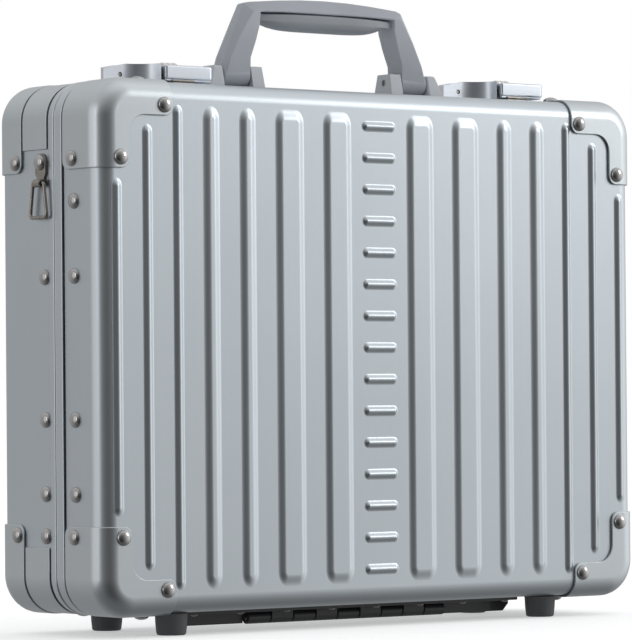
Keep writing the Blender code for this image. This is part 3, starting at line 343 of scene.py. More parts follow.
def sweepAround(bm, profile, closed):
    # takes a profile of (inset, y) once round the case's rounded outline
    radius, steps = case["cornerRadius"], case["cornerSteps"]
    across, up = halfWidth - radius, halfHeight - radius
    edges = addLoop(bm, [(0, y, caseTop - inset) for inset, y in profile], closed)
    legs = (
        ((across, 0, 0), (across, up)),
        ((0, 0, -2 * up), (across, -up)),
        ((-2 * across, 0, 0), (-across, -up)),
        ((0, 0, 2 * up), (-across, up)),
        ((across, 0, 0), None),
    )
    for move, corner in legs:
        made = bmesh.ops.extrude_edge_only(bm, edges=edges)["geom"]
        verts = [item for item in made if isinstance(item, bmesh.types.BMVert)]
        edges = [item for item in made if isinstance(item, bmesh.types.BMEdge)]
        bmesh.ops.translate(bm, verts=verts, vec=move)
        if corner:
            turned = bmesh.ops.spin(
                bm, geom=verts + edges, cent=(corner[0], 0, caseMiddle + corner[1]), axis=(0, 1, 0),
                angle=math.pi / 2, steps=steps, use_duplicate=False,
            )
            edges = [item for item in turned["geom_last"] if isinstance(item, bmesh.types.BMEdge)]
    bmesh.ops.remove_doubles(bm, verts=bm.verts, dist=1e-6)


def addTray(bm, rim, face, outer, inner):
    # an open box with a wall between two skins, each given as an inset from the case's outline
    sign = 1 if face > rim else -1
    profile = []
    for inset, backwards in ((outer, False), (inner, True)):
        radius = case["edgeRadius"] - inset
        flat = face - sign * inset
        arc = arcPoints((0, 0), radius, 90, 0, case["edgeSteps"])
        skin = [(case["edgeRadius"] - u, flat - sign * (radius - v)) for u, v in arc] + [(inset, rim)]
        profile += skin[::-1] if backwards else skin
    sweepAround(bm, profile, closed=False)
    rims = [edge for edge in bm.edges if edge.is_boundary]
    bmesh.ops.holes_fill(bm, edges=rims, sides=0)


ribs = {
    "widths": (0.0219, 0.0219, 0.0116, 0.0116, 0.0062, 0.0062, 0.0062),
    "first": 0.0246,
    "gap": 0.018,
    "flank": 0.0056,
    "proud": 0.0016,
    "spread": 0.0010,
    "barSpread": 0.0004,
    "steps": 7,
    "fromEnd": 0.0152,
    "fromEndAtNotch": 0.0285,
    "fromEndAtArm": 0.064,
    "bars": 15,
    "barPitch": 0.0213,
    "barWidth": 0.0290,
    "barHeight": 0.0066,
    "sunk": 0.0004,
    "endStretch": 1.35,
}


def addRib(bm, centre, width, height, outward, proud, stretch=1.0):
    # one pressed swelling: its flanks rise in an S from the sheet, and its round ends can fade over a longer way
    flank = min(ribs["flank"], min(width, height) * 0.48)
    corner = min(flank * 1.25, min(width, height) * 0.49)
    levels = [(0.0, -ribs["sunk"])]
    for step in range(ribs["steps"] + 1):
        rise = (1 - math.cos(math.pi * step / ribs["steps"])) / 2
        levels.append((flank * step / ribs["steps"], proud * rise))
    loops = []
    for inset, level in levels:
        radius = max(corner - inset, 0.00015)
        across, up = width / 2 - inset - radius, height / 2 - (inset + radius) * stretch
        points = []
        for x, z, start in ((across, up, 0), (-across, up, 90), (-across, -up, 180), (across, -up, 270)):
            turn = arcPoints((0, 0), radius, start, start + 90, 6)
            points += [(x + u, z + v * stretch) for u, v in turn]
        place = [(centre[0] + x, centre[1] + outward * level, centre[2] + z) for x, z in points]
        loops.append(addLoop(bm, place))
    for first, second in zip(loops, loops[1:]):
        bmesh.ops.bridge_loops(bm, edges=first + second)
    bmesh.ops.holes_fill(bm, edges=loops[0] + loops[-1], sides=0)


def addRibs(bm, face, outward):
    x = ribs["first"]
    for index, width in enumerate(ribs["widths"]):
        stop = {5: ribs["fromEndAtNotch"], 6: ribs["fromEndAtArm"]}.get(index, ribs["fromEnd"])
        for side in (-1, 1):
            centre = (side * (x + width / 2), face, caseMiddle)
            size = width + 2 * ribs["spread"], 2 * (halfHeight - stop)
            addRib(bm, centre, *size, outward, ribs["proud"], ribs["endStretch"])
        x += width + ribs["gap"]
    for bar in range(ribs["bars"]):
        z = caseMiddle + (bar - (ribs["bars"] - 1) / 2) * ribs["barPitch"]
        addRib(bm, (0, face, z), ribs["barWidth"], ribs["barHeight"] + 2 * ribs["barSpread"], outward, ribs["proud"])


def makeShell(name, node, body, rim, face, outward):
    bm = bmesh.new()
    addTray(bm, rim, face, 0.0, case["sheet"])
    addRibs(bm, face, outward)
    return finishPiece(name, bm, body, "sheet", [node], sharp=40)


makeShell("lidShell", "front_shell", "lid", lidHigh.y, lidFace, -1)
makeShell("backShell", "back_shell", "back_case", backLow.y, backFace, 1)
print("shells and ribs made")

rails = {
    "proud": 0.0014,
    "depth": 0.0095,
    "web": 0.0020,
    "wall": 0.0016,
    "tongue": (0.0050, 0.0022, 0.0020),
    "channel": (0.0042, 0.0038, 0.0044),
}


def softProfile(points, radius):
    # rounds each corner of a closed profile with a short chamfer pair
    rounded = []
    for index, here in enumerate(points):
        before, after = Vector(points[index - 1]), Vector(points[(index + 1) % len(points)])
        here = Vector(here)
        for other in (before, after):
            step = other - here
            rounded.append(tuple(here + step.normalized() * min(radius, step.length * 0.35)))
    return rounded


def backRail():
    low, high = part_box("back_frame")
    skin, out = case["sheet"] + case["gap"], -rails["proud"]
    web = case["seamHalf"]
    tongueIn, tongueWide, tongueOut = rails["tongue"]
    profile = [
        (out + 0.0003, web), (out, web + 0.0006), (out, 0.0080), (out + 0.0004, 0.0087), (out + 0.0009, 0.0090),
        (out + 0.0009, 0.0098), (out + 0.0003, 0.0101), (out, 0.0107), (out + 0.0002, 0.0135),
        (out + 0.0007, 0.0165), (-case["gap"], 0.0175), (-case["gap"], web + rails["web"]),
        (skin, web + rails["web"]), (skin, high.y - seam), (skin + rails["wall"], high.y - seam),
        (skin + rails["wall"], web + rails["web"]), (rails["depth"], web + rails["web"]), (rails["depth"], web),
        (tongueIn + tongueWide, web), (tongueIn + tongueWide, -tongueOut), (tongueIn, -tongueOut), (tongueIn, web),
    ]
    bm = bmesh.new()
    sweepAround(bm, [(inset, seam + y) for inset, y in softProfile(profile, 0.00018)], closed=True)
    finishPiece("backRail", bm, "back_case", "rail", ["back_frame"], sharp=50)


def lidRail():
    low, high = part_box("front_frame")
    skin, web = case["sheet"] + case["gap"], case["seamHalf"]
    channelIn, channelWide, channelDeep = rails["channel"]
    floor = web + channelDeep
    profile = [
        (skin, -web), (skin, low.y - seam), (skin + rails["wall"], low.y - seam),
        (skin + rails["wall"], -floor - rails["wall"]), (rails["depth"], -floor - rails["wall"]),
        (rails["depth"], -web), (channelIn + channelWide, -web), (channelIn + channelWide, -floor),
        (channelIn, -floor), (channelIn, -web),
    ]
    bm = bmesh.new()
    sweepAround(bm, [(inset, seam + y) for inset, y in softProfile(profile, 0.0002)], closed=True)
    finishPiece("lidRail", bm, "lid", "rail", ["front_frame"], sharp=50)


backRail()
lidRail()
frame["nodes"]["gasket"].data.materials.clear()
frame["nodes"]["gasket"].data.materials.append(looks["seal"])
print("rails made")

rivets = {
    "head": 0.0052,
    "rise": 0.0031,
    "brim": 0.0004,
    "along": 0.0505,
    "fromEdge": 0.0158,
    "lidFromSeam": 0.012,
    "backFromSeam": 0.0225,
    "cornerFromSeam": 0.0545,
    "lidHeights": (-0.095, -0.0465, 0.0465, 0.095),
    "backHeights": (-0.1225, -0.095, -0.0465, 0.0465),
}


def addRivet(bm, seat, outward):
    # low dome on a thin straight brim
    arc = arcPoints((0, 0), 1, 0, 90, 9)
    profile = [(0, -0.0008), (rivets["head"] * 0.96, -0.0008), (rivets["head"], rivets["brim"] * 0.4)]
    profile += [(rivets["head"] * u, rivets["brim"] + (rivets["rise"] - rivets["brim"]) * v) for u, v in arc[:-1]]
    profile.append((0, rivets["rise"]))
    addTurned(bm, seat, outward, profile, 28)


def cornerSeats(side, end, face, wall, lift):
    outward = 1 if face > seam else -1
    farX, nearX = side * (halfWidth - rivets["along"]), side * (halfWidth - rivets["fromEdge"])
    farZ = caseMiddle + end * (halfHeight - rivets["along"])
    nearZ = caseMiddle + end * (halfHeight - rivets["fromEdge"])
    return [
        ((farX, face + outward * lift, nearZ), (0, outward, 0)),
        ((nearX, face + outward * lift, farZ), (0, outward, 0)),
        ((side * (halfWidth + lift), wall, farZ), (side, 0, 0)),
        ((farX, wall, caseMiddle + end * (halfHeight + lift)), (0, 0, end)),
    ]


def makeRivets():
    groups = {"lid": bmesh.new(), "back_case": bmesh.new()}
    for side in (-1, 1):
        for end in (-1, 1):
            for seat in cornerSeats(side, end, lidFace, seam - rivets["lidFromSeam"], 0.0016):
                addRivet(groups["lid"], *seat)
            for seat in cornerSeats(side, end, backFace, seam + rivets["cornerFromSeam"], 0.0016):
                addRivet(groups["back_case"], *seat)
        for height in rivets["lidHeights"]:
            seat = (side * halfWidth, seam - rivets["lidFromSeam"], caseMiddle + height)
            addRivet(groups["lid"], seat, (side, 0, 0))
        for height in rivets["backHeights"]:
            seat = (side * halfWidth, seam + rivets["backFromSeam"], caseMiddle + height)
            addRivet(groups["back_case"], seat, (side, 0, 0))
    finishPiece("lidRivets", groups["lid"], "lid", "rivet")
    finishPiece("backRivets", groups["back_case"], "back_case", "rivet")


makeRivets()
print("rivets made")

corners = {
    "plate": 0.0014,
    "arm": 0.0575,
    "width": 0.0227,
    "notch": 0.012,
    "lobe": 0.0060,
    "sideRound": 0.0060,
    "edgeRound": 0.0004,
    "wrapPlate": 0.0008,
    "wrapReach": 0.043,
}


def bake(piece):
    # gives the object the mesh that its modifiers make
    graph = bpy.context.evaluated_depsgraph_get()
    mesh = bpy.data.meshes.new_from_object(piece.evaluated_get(graph))
    piece.modifiers.clear()
    old = piece.data
    piece.data = mesh
    bpy.data.meshes.remove(old)
    return piece


def scratchObject(name, bm):
    bmesh.ops.recalc_face_normals(bm, faces=bm.faces)
    mesh = bpy.data.meshes.new(name)
    bm.to_mesh(mesh)
    bm.free()
    made = bpy.data.objects.new(name, mesh)
    bpy.context.scene.collection.objects.link(made)
    return made


def carve(target, tool, operation="DIFFERENCE"):
    # one Boolean, applied at once; the tool is thrown away
    cut = target.modifiers.new("carve", "BOOLEAN")
    cut.operation = operation
    cut.object = tool
    cut.solver = "EXACT"
    bake(target)
    bpy.data.objects.remove(tool)
    return target


def cornerPrism(side, end, low, high):
    # an L in front view, its lobes and its inner notch rounded by bevels
    far, near, past = corners["arm"], corners["width"], 0.01
    points = [(-past, -past), (far, -past), (far, near), (near, near), (near, far), (-past, far)]
    place = [(side * (halfWidth - u), low, caseMiddle + end * (halfHeight - v)) for u, v in points]
    bm = bmesh.new()
    softPrism(bm, place, (0, high - low, 0), 0)
    for (u, v), radius in (((far, near), corners["lobe"]), ((near, far), corners["lobe"]), ((near, near), corners["notch"])):
        x, z = side * (halfWidth - u), caseMiddle + end * (halfHeight - v)
        upright = [
            edge for edge in bm.edges
            if all(abs(vert.co.x - x) < 1e-6 and abs(vert.co.z - z) < 1e-6 for vert in edge.verts)
        ]
        softenEdges(bm, upright, radius, 6)
    return scratchObject("cornerTool", bm)


def roundPlateCorners(piece, side, end, rim):
    # rounds the two free corners at the seam, round the rivets
    bm = bmesh.new()
    bm.from_mesh(piece.data)
    bmesh.ops.remove_doubles(bm, verts=bm.verts, dist=1e-6)
    x, z = side * (halfWidth - corners["arm"]), caseMiddle + end * (halfHeight - corners["arm"])
    chosen = [
        edge for edge in bm.edges
        if all(abs(vert.co.y - rim) < 1e-5 for vert in edge.verts)
        and (all(abs(vert.co.x - x) < 1e-5 for vert in edge.verts) or all(abs(vert.co.z - z) < 1e-5 for vert in edge.verts))
    ]
    softenEdges(bm, chosen, corners["sideRound"], 6)
    bm.to_mesh(piece.data)
    bm.free()


def dressPlate(piece, name, body, nodes):
    bm = bmesh.new()
    bm.from_mesh(piece.data)
    bpy.data.objects.remove(piece)
    finishPiece(name, bm, body, "press", nodes, sharp=35, bevel=corners["edgeRound"])


def makeCorner(name, node, body, side, end, rim, face):
    bm = bmesh.new()
    addTray(bm, rim, face, -case["gap"] - corners["plate"], -case["gap"])
    plate = scratchObject("cornerPlate", bm)
    outward = 1 if face > rim else -1
    carve(plate, cornerPrism(side, end, rim - outward * 0.01, face + outward * 0.01), "INTERSECT")
    roundPlateCorners(plate, side, end, rim)
    dressPlate(plate, name, body, [node])


def makeWrap(name, node, side, end):
    low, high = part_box(node)
    bm = bmesh.new()
    addTray(bm, low.y, backFace, -case["gap"] - corners["wrapPlate"], -case["gap"])
    plate = scratchObject("wrapPlate", bm)
    block = bmesh.new()
    reachX, reachZ = halfWidth - corners["wrapReach"], halfHeight - corners["wrapReach"]
    spanX, spanZ = sorted((side * reachX, side * (halfWidth + 0.01))), sorted((end * reachZ, end * (halfHeight + 0.01)))
    softBlock(
        block, (spanX[0], low.y - 0.01, caseMiddle + spanZ[0]), (spanX[1], high.y, caseMiddle + spanZ[1]), 0.0005, 1
    )
    carve(plate, scratchObject("wrapTool", block), "INTERSECT")
    dressPlate(plate, name, "back_case", [node])


for sideName, side in sides:
    for endName, end in ends:
        spot = f"{endName}_{sideName}"
        label = endName + sideName.capitalize()
        makeCorner(f"lidCorner_{label}", f"front_corner_{spot}", "lid", side, end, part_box(f"front_corner_{spot}")[1].y, lidFace)
        makeCorner(f"backCorner_{label}", f"back_corner_{spot}", "back_case", side, end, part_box(f"back_corner_{spot}")[0].y, backFace)
        makeWrap(f"backWrap_{label}", f"wrap_plate_{spot}", side, end)
print("corner protectors made")

feet = {"waist": 0.0104, "soleRound": 0.0016, "screw": 0.0042, "recess": 0.0022}


def makeFoot(name, node, body):
    # a turned rubber foot, wider at its root, with the screw sunk in its sole
    low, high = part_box(node)
    centre = ((low.x + high.x) / 2, (low.y + high.y) / 2, 0)
    root, tall = (high.x - low.x) / 2, high.z
    sole = root * 0.88
    profile = [(0, feet["recess"]), (feet["screw"], feet["recess"]), (feet["screw"], 0.0003), (feet["screw"] + 0.0003, 0)]
    profile += [(sole - feet["soleRound"] + u, feet["soleRound"] + v)
                for u, v in arcPoints((0, 0), feet["soleRound"], -90, 0, 5)]
    profile += [(feet["waist"], tall * 0.45), (root - 0.0004, tall - 0.0012), (root, tall - 0.0006), (root - 0.0004, tall), (0, tall)]
    bm = bmesh.new()
    addTurned(bm, centre, (0, 0, 1), profile, 40)
    finishPiece(name, bm, body, "foot", [node], sharp=50)
    bm = bmesh.new()
    head = [(0, feet["recess"] - 0.0011), (feet["screw"] * 0.6, feet["recess"] - 0.001), (feet["screw"] * 0.9, feet["recess"] - 0.0003), (feet["screw"] * 0.9, feet["recess"] + 0.0004), (0, feet["recess"] + 0.0004)]
    addTurned(bm, centre, (0, 0, 1), head, 24)
    finishPiece(name + "Screw", bm, body, "steel")


for sideName, side in sides:
    makeFoot(f"lidFoot_{sideName}", f"front_foot_{sideName}", "lid")
    makeFoot(f"backFoot_{sideName}", f"back_foot_{sideName}", "back_case")
print("feet made")

hinge = {
    "knuckles": 9,
    "gap": 0.0006,
    "barrel": 0.0042,
    "barrelHalf": 0.085,
    "leafDeep": 0.014,
    "screws": 8,
    "screwHead": 0.0027,
    "guardDeep": 0.0076,
}


def makeLeaf(name, node, body, sign, first):
    low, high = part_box(node)
    under = caseBottom - 0.0029
    near, far = seam + sign * case["seamHalf"], seam + sign * hinge["leafDeep"]
    leafHalf = 0.142
    bm = bmesh.new()
    softBlock(bm, (-leafHalf, min(near, far), under), (leafHalf, max(near, far), high.z), 0.0004, 2)
    pitch = 2 * hinge["barrelHalf"] / hinge["knuckles"]
    web = sorted((seam + sign * hinge["barrel"] * 0.35, seam + sign * hinge["barrel"]))
    for knuckle in range(first, hinge["knuckles"], 2):
        left = -hinge["barrelHalf"] + knuckle * pitch + hinge["gap"] / 2
        right = left + pitch - hinge["gap"]
        radius, chamfer = hinge["barrel"], 0.0004
        profile = [(0.0017, 0), (radius - chamfer, 0), (radius, chamfer)]
        profile += [(radius, right - left - chamfer), (radius - chamfer, right - left), (0.0017, right - left), (0.0017, 0)]
        addTurned(bm, (left, seam, hingeZ), (1, 0, 0), profile, 24)
        softBlock(bm, (left + 0.0003, web[0], hingeZ), (right - 0.0003, web[1], under + 0.0005), 0.0003, 2)
    if sign > 0:
        for side in (-1, 1):
            start, stop = hinge["barrelHalf"] + 0.0012, high.x
            bottom = hingeZ - hinge["barrel"] + 0.0005
            points = [(start, bottom), (stop - 0.005, bottom), (stop, bottom + 0.005), (stop, under + 0.0008), (start, under + 0.0008)]
            softPrism(bm, [(side * x, near, z) for x, z in points], (0, hinge["guardDeep"], 0), 0.0006, 3)
    finishPiece(name, bm, body, "hinge", [node], sharp=40)
    bm = bmesh.new()
    for index in range(hinge["screws"]):
        x = (index - (hinge["screws"] - 1) / 2) * 2 * (leafHalf - 0.008) / (hinge["screws"] - 1)
        y = seam + sign * (hinge["leafDeep"] - 0.0045)
        if sign > 0 and abs(x) > hinge["barrelHalf"]:
            y = seam + sign * (hinge["leafDeep"] - 0.0035)
        dome = [(hinge["screwHead"] * u, 0.0013 * v) for u, v in arcPoints((0, 0), 1, 0, 90, 6)[:-1]]
        addTurned(bm, (x, y, under), (0, 0, -1), [(0, -0.0004), (hinge["screwHead"], -0.0004)] + dome + [(0, 0.0013)], 20)
    finishPiece(name + "Rivets", bm, body, "dark")


def makePin(name, node, body, axis, look="dark", chamfer=0.0003):
    # a straight pin with chamfered ends, as long and as thick as its node
    low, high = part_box(node)
    centre = (low + high) / 2
    long = high[axis] - low[axis]
    across = [index for index in range(3) if index != axis]
    radius = max(high[index] - low[index] for index in across) / 2
    start = centre.copy()
    start[axis] = low[axis]
    direction = [float(index == axis) for index in range(3)]
    profile = [(0, 0), (radius - chamfer, 0), (radius, chamfer), (radius, long - chamfer), (radius - chamfer, long), (0, long)]
    bm = bmesh.new()
    addTurned(bm, start, direction, profile, 24)
    return finishPiece(name, bm, body, look, [node], sharp=40)


makeLeaf("lidHingeLeaf", "hinge_leaf_front", "lid", -1, 1)
makeLeaf("backHingeLeaf", "hinge_leaf_back", "back_case", 1, 0)
makePin("hingePin", "hinge_pin", "back_case", 0)
print("hinge made")

handle = {
    "earLean": 0.0008,
    "earTopDepth": 0.014,
    "earHeight": 0.018,
    "inner": (0.0548, 0.0648),
    "outer": (0.0880, 0.1025),
    "outerTop": 0.0958,
    "base": 0.0030,
    "footRound": 0.0082,
    "pinBore": 0.0023,
    "top": 0.0658,
    "gripTop": 0.0556,
    "gripBottom": 0.0438,
    "gripHalf": 0.0575,
    "gripDeep": 0.0106,
}
handleY, handleZ = joints["handle_fold"]["pos_m"][1:]
pinHeight = handleZ - caseTop


def makeBracket(name, node, side):
    # base plate and two tapered ears with a bore for the pin
    low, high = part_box(node)
    deep, topDeep = high.y - low.y, handle["earTopDepth"]
    bm = bmesh.new()
    softBlock(bm, (low.x, low.y, caseTop + 0.0017), (high.x, high.y, caseTop + 0.0033), 0.0005, 2)
    softBlock(bm, (low.x, seam + 0.0181, low.z), (high.x, high.y, caseTop + 0.0030), 0.0003, 1)
    inner, outer = handle["inner"], handle["outer"]
    for span, topSpan in ((inner, (inner[0] + handle["earLean"], inner[1])), (outer, (outer[0], handle["outerTop"]))):
        start = len(bm.verts)
        softSpan = sorted((side * span[0], side * span[1]))
        where = Matrix.Translation(((softSpan[0] + softSpan[1]) / 2, handleY, caseTop + 0.0017)) @ Matrix.Diagonal(
            (softSpan[1] - softSpan[0], deep, 1, 1)
        )
        base = bmesh.ops.create_grid(bm, x_segments=1, y_segments=1, size=0.5, matrix=where)["verts"]
        raised = bmesh.ops.extrude_face_region(bm, geom=list(base[0].link_faces), use_keep_orig=True)["geom"]
        top = [item for item in raised if isinstance(item, bmesh.types.BMVert)]
        for vert in top:
            outerEdge = abs(abs(vert.co.x) - span[1]) < 1e-6
            vert.co = (side * topSpan[1 if outerEdge else 0], handleY + math.copysign(topDeep / 2, vert.co.y - handleY), caseTop + handle["earHeight"])
        bm.verts.ensure_lookup_table()
        ear = [edge for edge in bm.edges if all(vert.index >= start or vert.index < 0 for vert in edge.verts)]
        tall = [edge for edge in ear if any(vert in top for vert in edge.verts) and edge.is_valid]
        softenEdges(bm, tall, 0.0016, 4)
    piece = scratchObject("bracketDraft", bm)
    tool = bmesh.new()
    addTurned(
        tool, (side * (inner[0] - 0.004), handleY, handleZ), (side, 0, 0),
        [(0, 0), (handle["pinBore"], 0), (handle["pinBore"], handle["outerTop"] - inner[0] + 0.008), (0, handle["outerTop"] - inner[0] + 0.008)], 28,
    )
    carve(piece, scratchObject("boreTool", tool))
    bm = bmesh.new()
    bm.from_mesh(piece.data)
    bpy.data.objects.remove(piece)
    finishPiece(name, bm, "back_case", "bracket", [node], sharp=30)


def addSection(bm, outer, inner, half, facet, land):
    # six corners: an outer land, two slanting facets and the flat inner side
    outer, inner = Vector((outer[0], 0, outer[1])), Vector((inner[0], 0, inner[1]))
    span = inner - outer
    steps = ((0.0, land), (facet, 1.0), (1.0, 0.94))
    front = [outer + span * along + Vector((0, -half * deep, 0)) for along, deep in steps]
    back = [outer + span * along + Vector((0, half * deep, 0)) for along, deep in reversed(steps)]
    verts = bmesh.ops.create_circle(bm, segments=6, radius=half)["verts"]
    for vert, point in zip(verts, front + back):
        vert.co = point + Vector((0, handleY, caseTop))
    return [edge for edge in bm.edges if all(vert in verts for vert in edge.verts)]


def makeHandle():
    # two faceted arms that end round about their pins, and the arched bar between them
    outerFoot, innerFoot = handle["outer"][0] - 0.0005, handle["inner"][1] + 0.0005
    top, gripTop, gripBottom = handle["top"], handle["gripTop"], handle["gripBottom"]
    stations = [
        ((outerFoot, pinHeight), (innerFoot, pinHeight), handle["footRound"], 0.06, 0.90),
        ((outerFoot - 0.0026, 0.0240), (innerFoot, 0.0240), 0.0088, 0.12, 0.50),
        ((0.0772, top - 0.0248), (0.0612, gripBottom - 0.008), 0.0095, 0.18, 0.34),
        ((0.0680, top - 0.0050), (0.0582, gripBottom + 0.0030), 0.0100, 0.40, 0.36),
        ((0.0630, top - 0.0036), (0.0576, gripTop - 0.0004), 0.0102, 0.80, 0.44),
        ((0.0400, top - 0.0016), (0.0400, gripTop + 0.0002), 0.0103, 0.86, 0.46),
        ((0.0200, top - 0.0004), (0.0200, gripTop + 0.0003), 0.0103, 0.86, 0.46),
    ]
    mirrored = [((-o[0], o[1]), (-i[0], i[1]), *rest) for o, i, *rest in reversed(stations)]
    bm = bmesh.new()
    loops = [addSection(bm, *station) for station in stations]
    loops.append(addSection(bm, (0, top), (0, gripTop + 0.0003), *stations[-1][2:]))
    loops += [addSection(bm, *station) for station in mirrored]
    for first, second in zip(loops, loops[1:]):
        bmesh.ops.bridge_loops(bm, edges=first + second)
    bmesh.ops.holes_fill(bm, edges=[edge for edge in bm.edges if edge.is_boundary], sides=0)
    bmesh.ops.recalc_face_normals(bm, faces=bm.faces)
    crease = [edge for edge in bm.edges if edge.calc_face_angle(0) > math.radians(20)]
    softenEdges(bm, crease, 0.0009, 3)
    long, round_ = outerFoot - innerFoot, handle["footRound"]
    profile = [(0, 0), (round_ - 0.0008, 0), (round_, 0.0008), (round_, long - 0.0008), (round_ - 0.0008, long), (0, long)]
    for side in (-1, 1):
        addTurned(bm, (side * innerFoot, handleY, handleZ), (side, 0, 0), profile, 48)
    finishPiece("handleFrame", bm, "handle", "handle", ["handle_frame"], sharp=26)


def makeGrip():
    # the softer insert under the bar: a barrel cut flat on top, its ends rounded down
    bm = bmesh.new()
    steps, gripTop, gripBottom = 24, handle["gripTop"] - 0.0004, handle["gripBottom"]
    loops = []
    for step in range(steps + 1):
        along = 2 * step / steps - 1
        ease = abs(along) ** 5
        x = along * handle["gripHalf"]
        rise = (gripTop - gripBottom) * 0.62 * ease
        verts = bmesh.ops.create_circle(bm, segments=20, radius=1)["verts"]
        sag = 0.0012 * along**2
        for index, vert in enumerate(verts):
            angle = math.tau * index / 20
            y, z = math.cos(angle), math.sin(angle)
            depth = handle["gripDeep"] * (1 - 0.10 * along**2 - 0.25 * ease)
            low = gripBottom + rise * (1 if z < 0 else 0)
            middle = (gripTop - sag + low) / 2 + 0.001
            tall = (gripTop - sag - low) / 2
            squarer = math.copysign(abs(z) ** (0.2 if z > 0 else 0.85), z)
            shift = 0.0035 * ease * (0.5 - z / 2)
            vert.co = (x - math.copysign(shift, along), handleY + depth * y, caseTop + middle + tall * squarer - 0.001 * (1 - z) / 2)
        loops.append([edge for edge in bm.edges if all(vert in verts for vert in edge.verts)])
    for first, second in zip(loops, loops[1:]):
        bmesh.ops.bridge_loops(bm, edges=first + second)
    bmesh.ops.holes_fill(bm, edges=[edge for edge in bm.edges if edge.is_boundary], sides=0)
    finishPiece("handleGrip", bm, "handle", "grip", ["handle_grip"], sharp=40)


for sideName, side in sides:
    makeBracket(f"handleBracket_{sideName}", f"handle_bracket_{sideName}", side)
    makePin(f"handlePin_{sideName}", f"handle_pin_{sideName}", "handle", 0)
makeHandle()
makeGrip()
print("handle made")

latch = {
    "wall": 0.0028,
    "front": 0.016,
    "lowEnd": 0.0117,
    "crown": 0.0154,
    "humpAlong": 0.0180,
    "setback": 0.0095,
    "pastSeam": 0.0030,
    "edge": 0.0020,
    "bore": 0.0016,
    "headRound": 0.0036,
    "lever": 0.0037,
}


def addHousing(bm, plan, low, top, slope, width):
    # a plan outline raised to the crown, its low end sloped off and its upper rims well rounded
    softPrism(bm, [(x, y, low) for x, y in plan], (0, 0, top - low), 0)
    start, along, drop = slope
    bmesh.ops.bisect_plane(
        bm, geom=bm.verts[:] + bm.edges[:] + bm.faces[:], plane_co=(start + along, 0, top),
        plane_no=(-drop, 0, along), clear_outer=True,
    )
    bmesh.ops.holes_fill(bm, edges=[edge for edge in bm.edges if edge.is_boundary], sides=0)
    bmesh.ops.recalc_face_normals(bm, faces=bm.faces)
    end = max(vert.co.x for vert in bm.verts) - 0.0001
    rims = [
        edge for edge in bm.edges
        if edge.calc_face_angle(0) > math.radians(38) and min(vert.co.x for vert in edge.verts) < end
        and min(vert.co.z for vert in edge.verts) > low + 0.001
    ]
    softenEdges(bm, rims, width, 5)


def makeLatchBody(name, node, pin):
    # the housing: cut back at its low end, slotted for the lever's arm, and swept forward to meet the head
    low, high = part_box(node)
    start, stop = low.x, high.x
    front, back, nose = seam + latch["front"], high.y, seam - latch["pastSeam"]
    reach, inner = front - nose, latch["wall"]
    turned = [math.radians(angle) for angle in range(0, 79, 6)]
    cove = [(stop - reach + reach * math.sin(a), nose + reach * math.cos(a)) for a in turned]
    plan = [(start, front)] + cove + [(stop, cove[-1][1] - 0.0012), (stop, back), (start + latch["setback"], back)]
    slope = (start, latch["humpAlong"], latch["crown"] - latch["lowEnd"])
    bm = bmesh.new()
    addHousing(bm, plan, caseTop + 0.0018, caseTop + latch["crown"], slope, latch["edge"])
    block = scratchObject("latchDraft", bm)
    tool = bmesh.new()
    softBlock(
        tool, (pin.x - latch["lever"] - 0.0006, front + inner, caseTop + 0.0040),
        (stop + 0.002, back - inner, caseTop + 0.03), 0.0003, 1,
    )
    carve(block, scratchObject("slotTool", tool))
    tool = bmesh.new()
    bore = [(0, 0), (latch["bore"], 0), (latch["bore"], back - front + 0.004), (0, back - front + 0.004)]
    addTurned(tool, (pin.x, front - 0.002, pin.z), (0, 1, 0), bore, 24)
    carve(block, scratchObject("boreTool", tool))
    bm = bmesh.new()
    bm.from_mesh(block.data)
    bpy.data.objects.remove(block)
    under = (start + latch["setback"], seam + 0.0181, low.z), (stop - 0.0005, back - 0.0005, caseTop + 0.0030)
    softBlock(bm, *under, 0.0003, 1)
    finishPiece(name, bm, "back_case", "latch", [node], sharp=38)


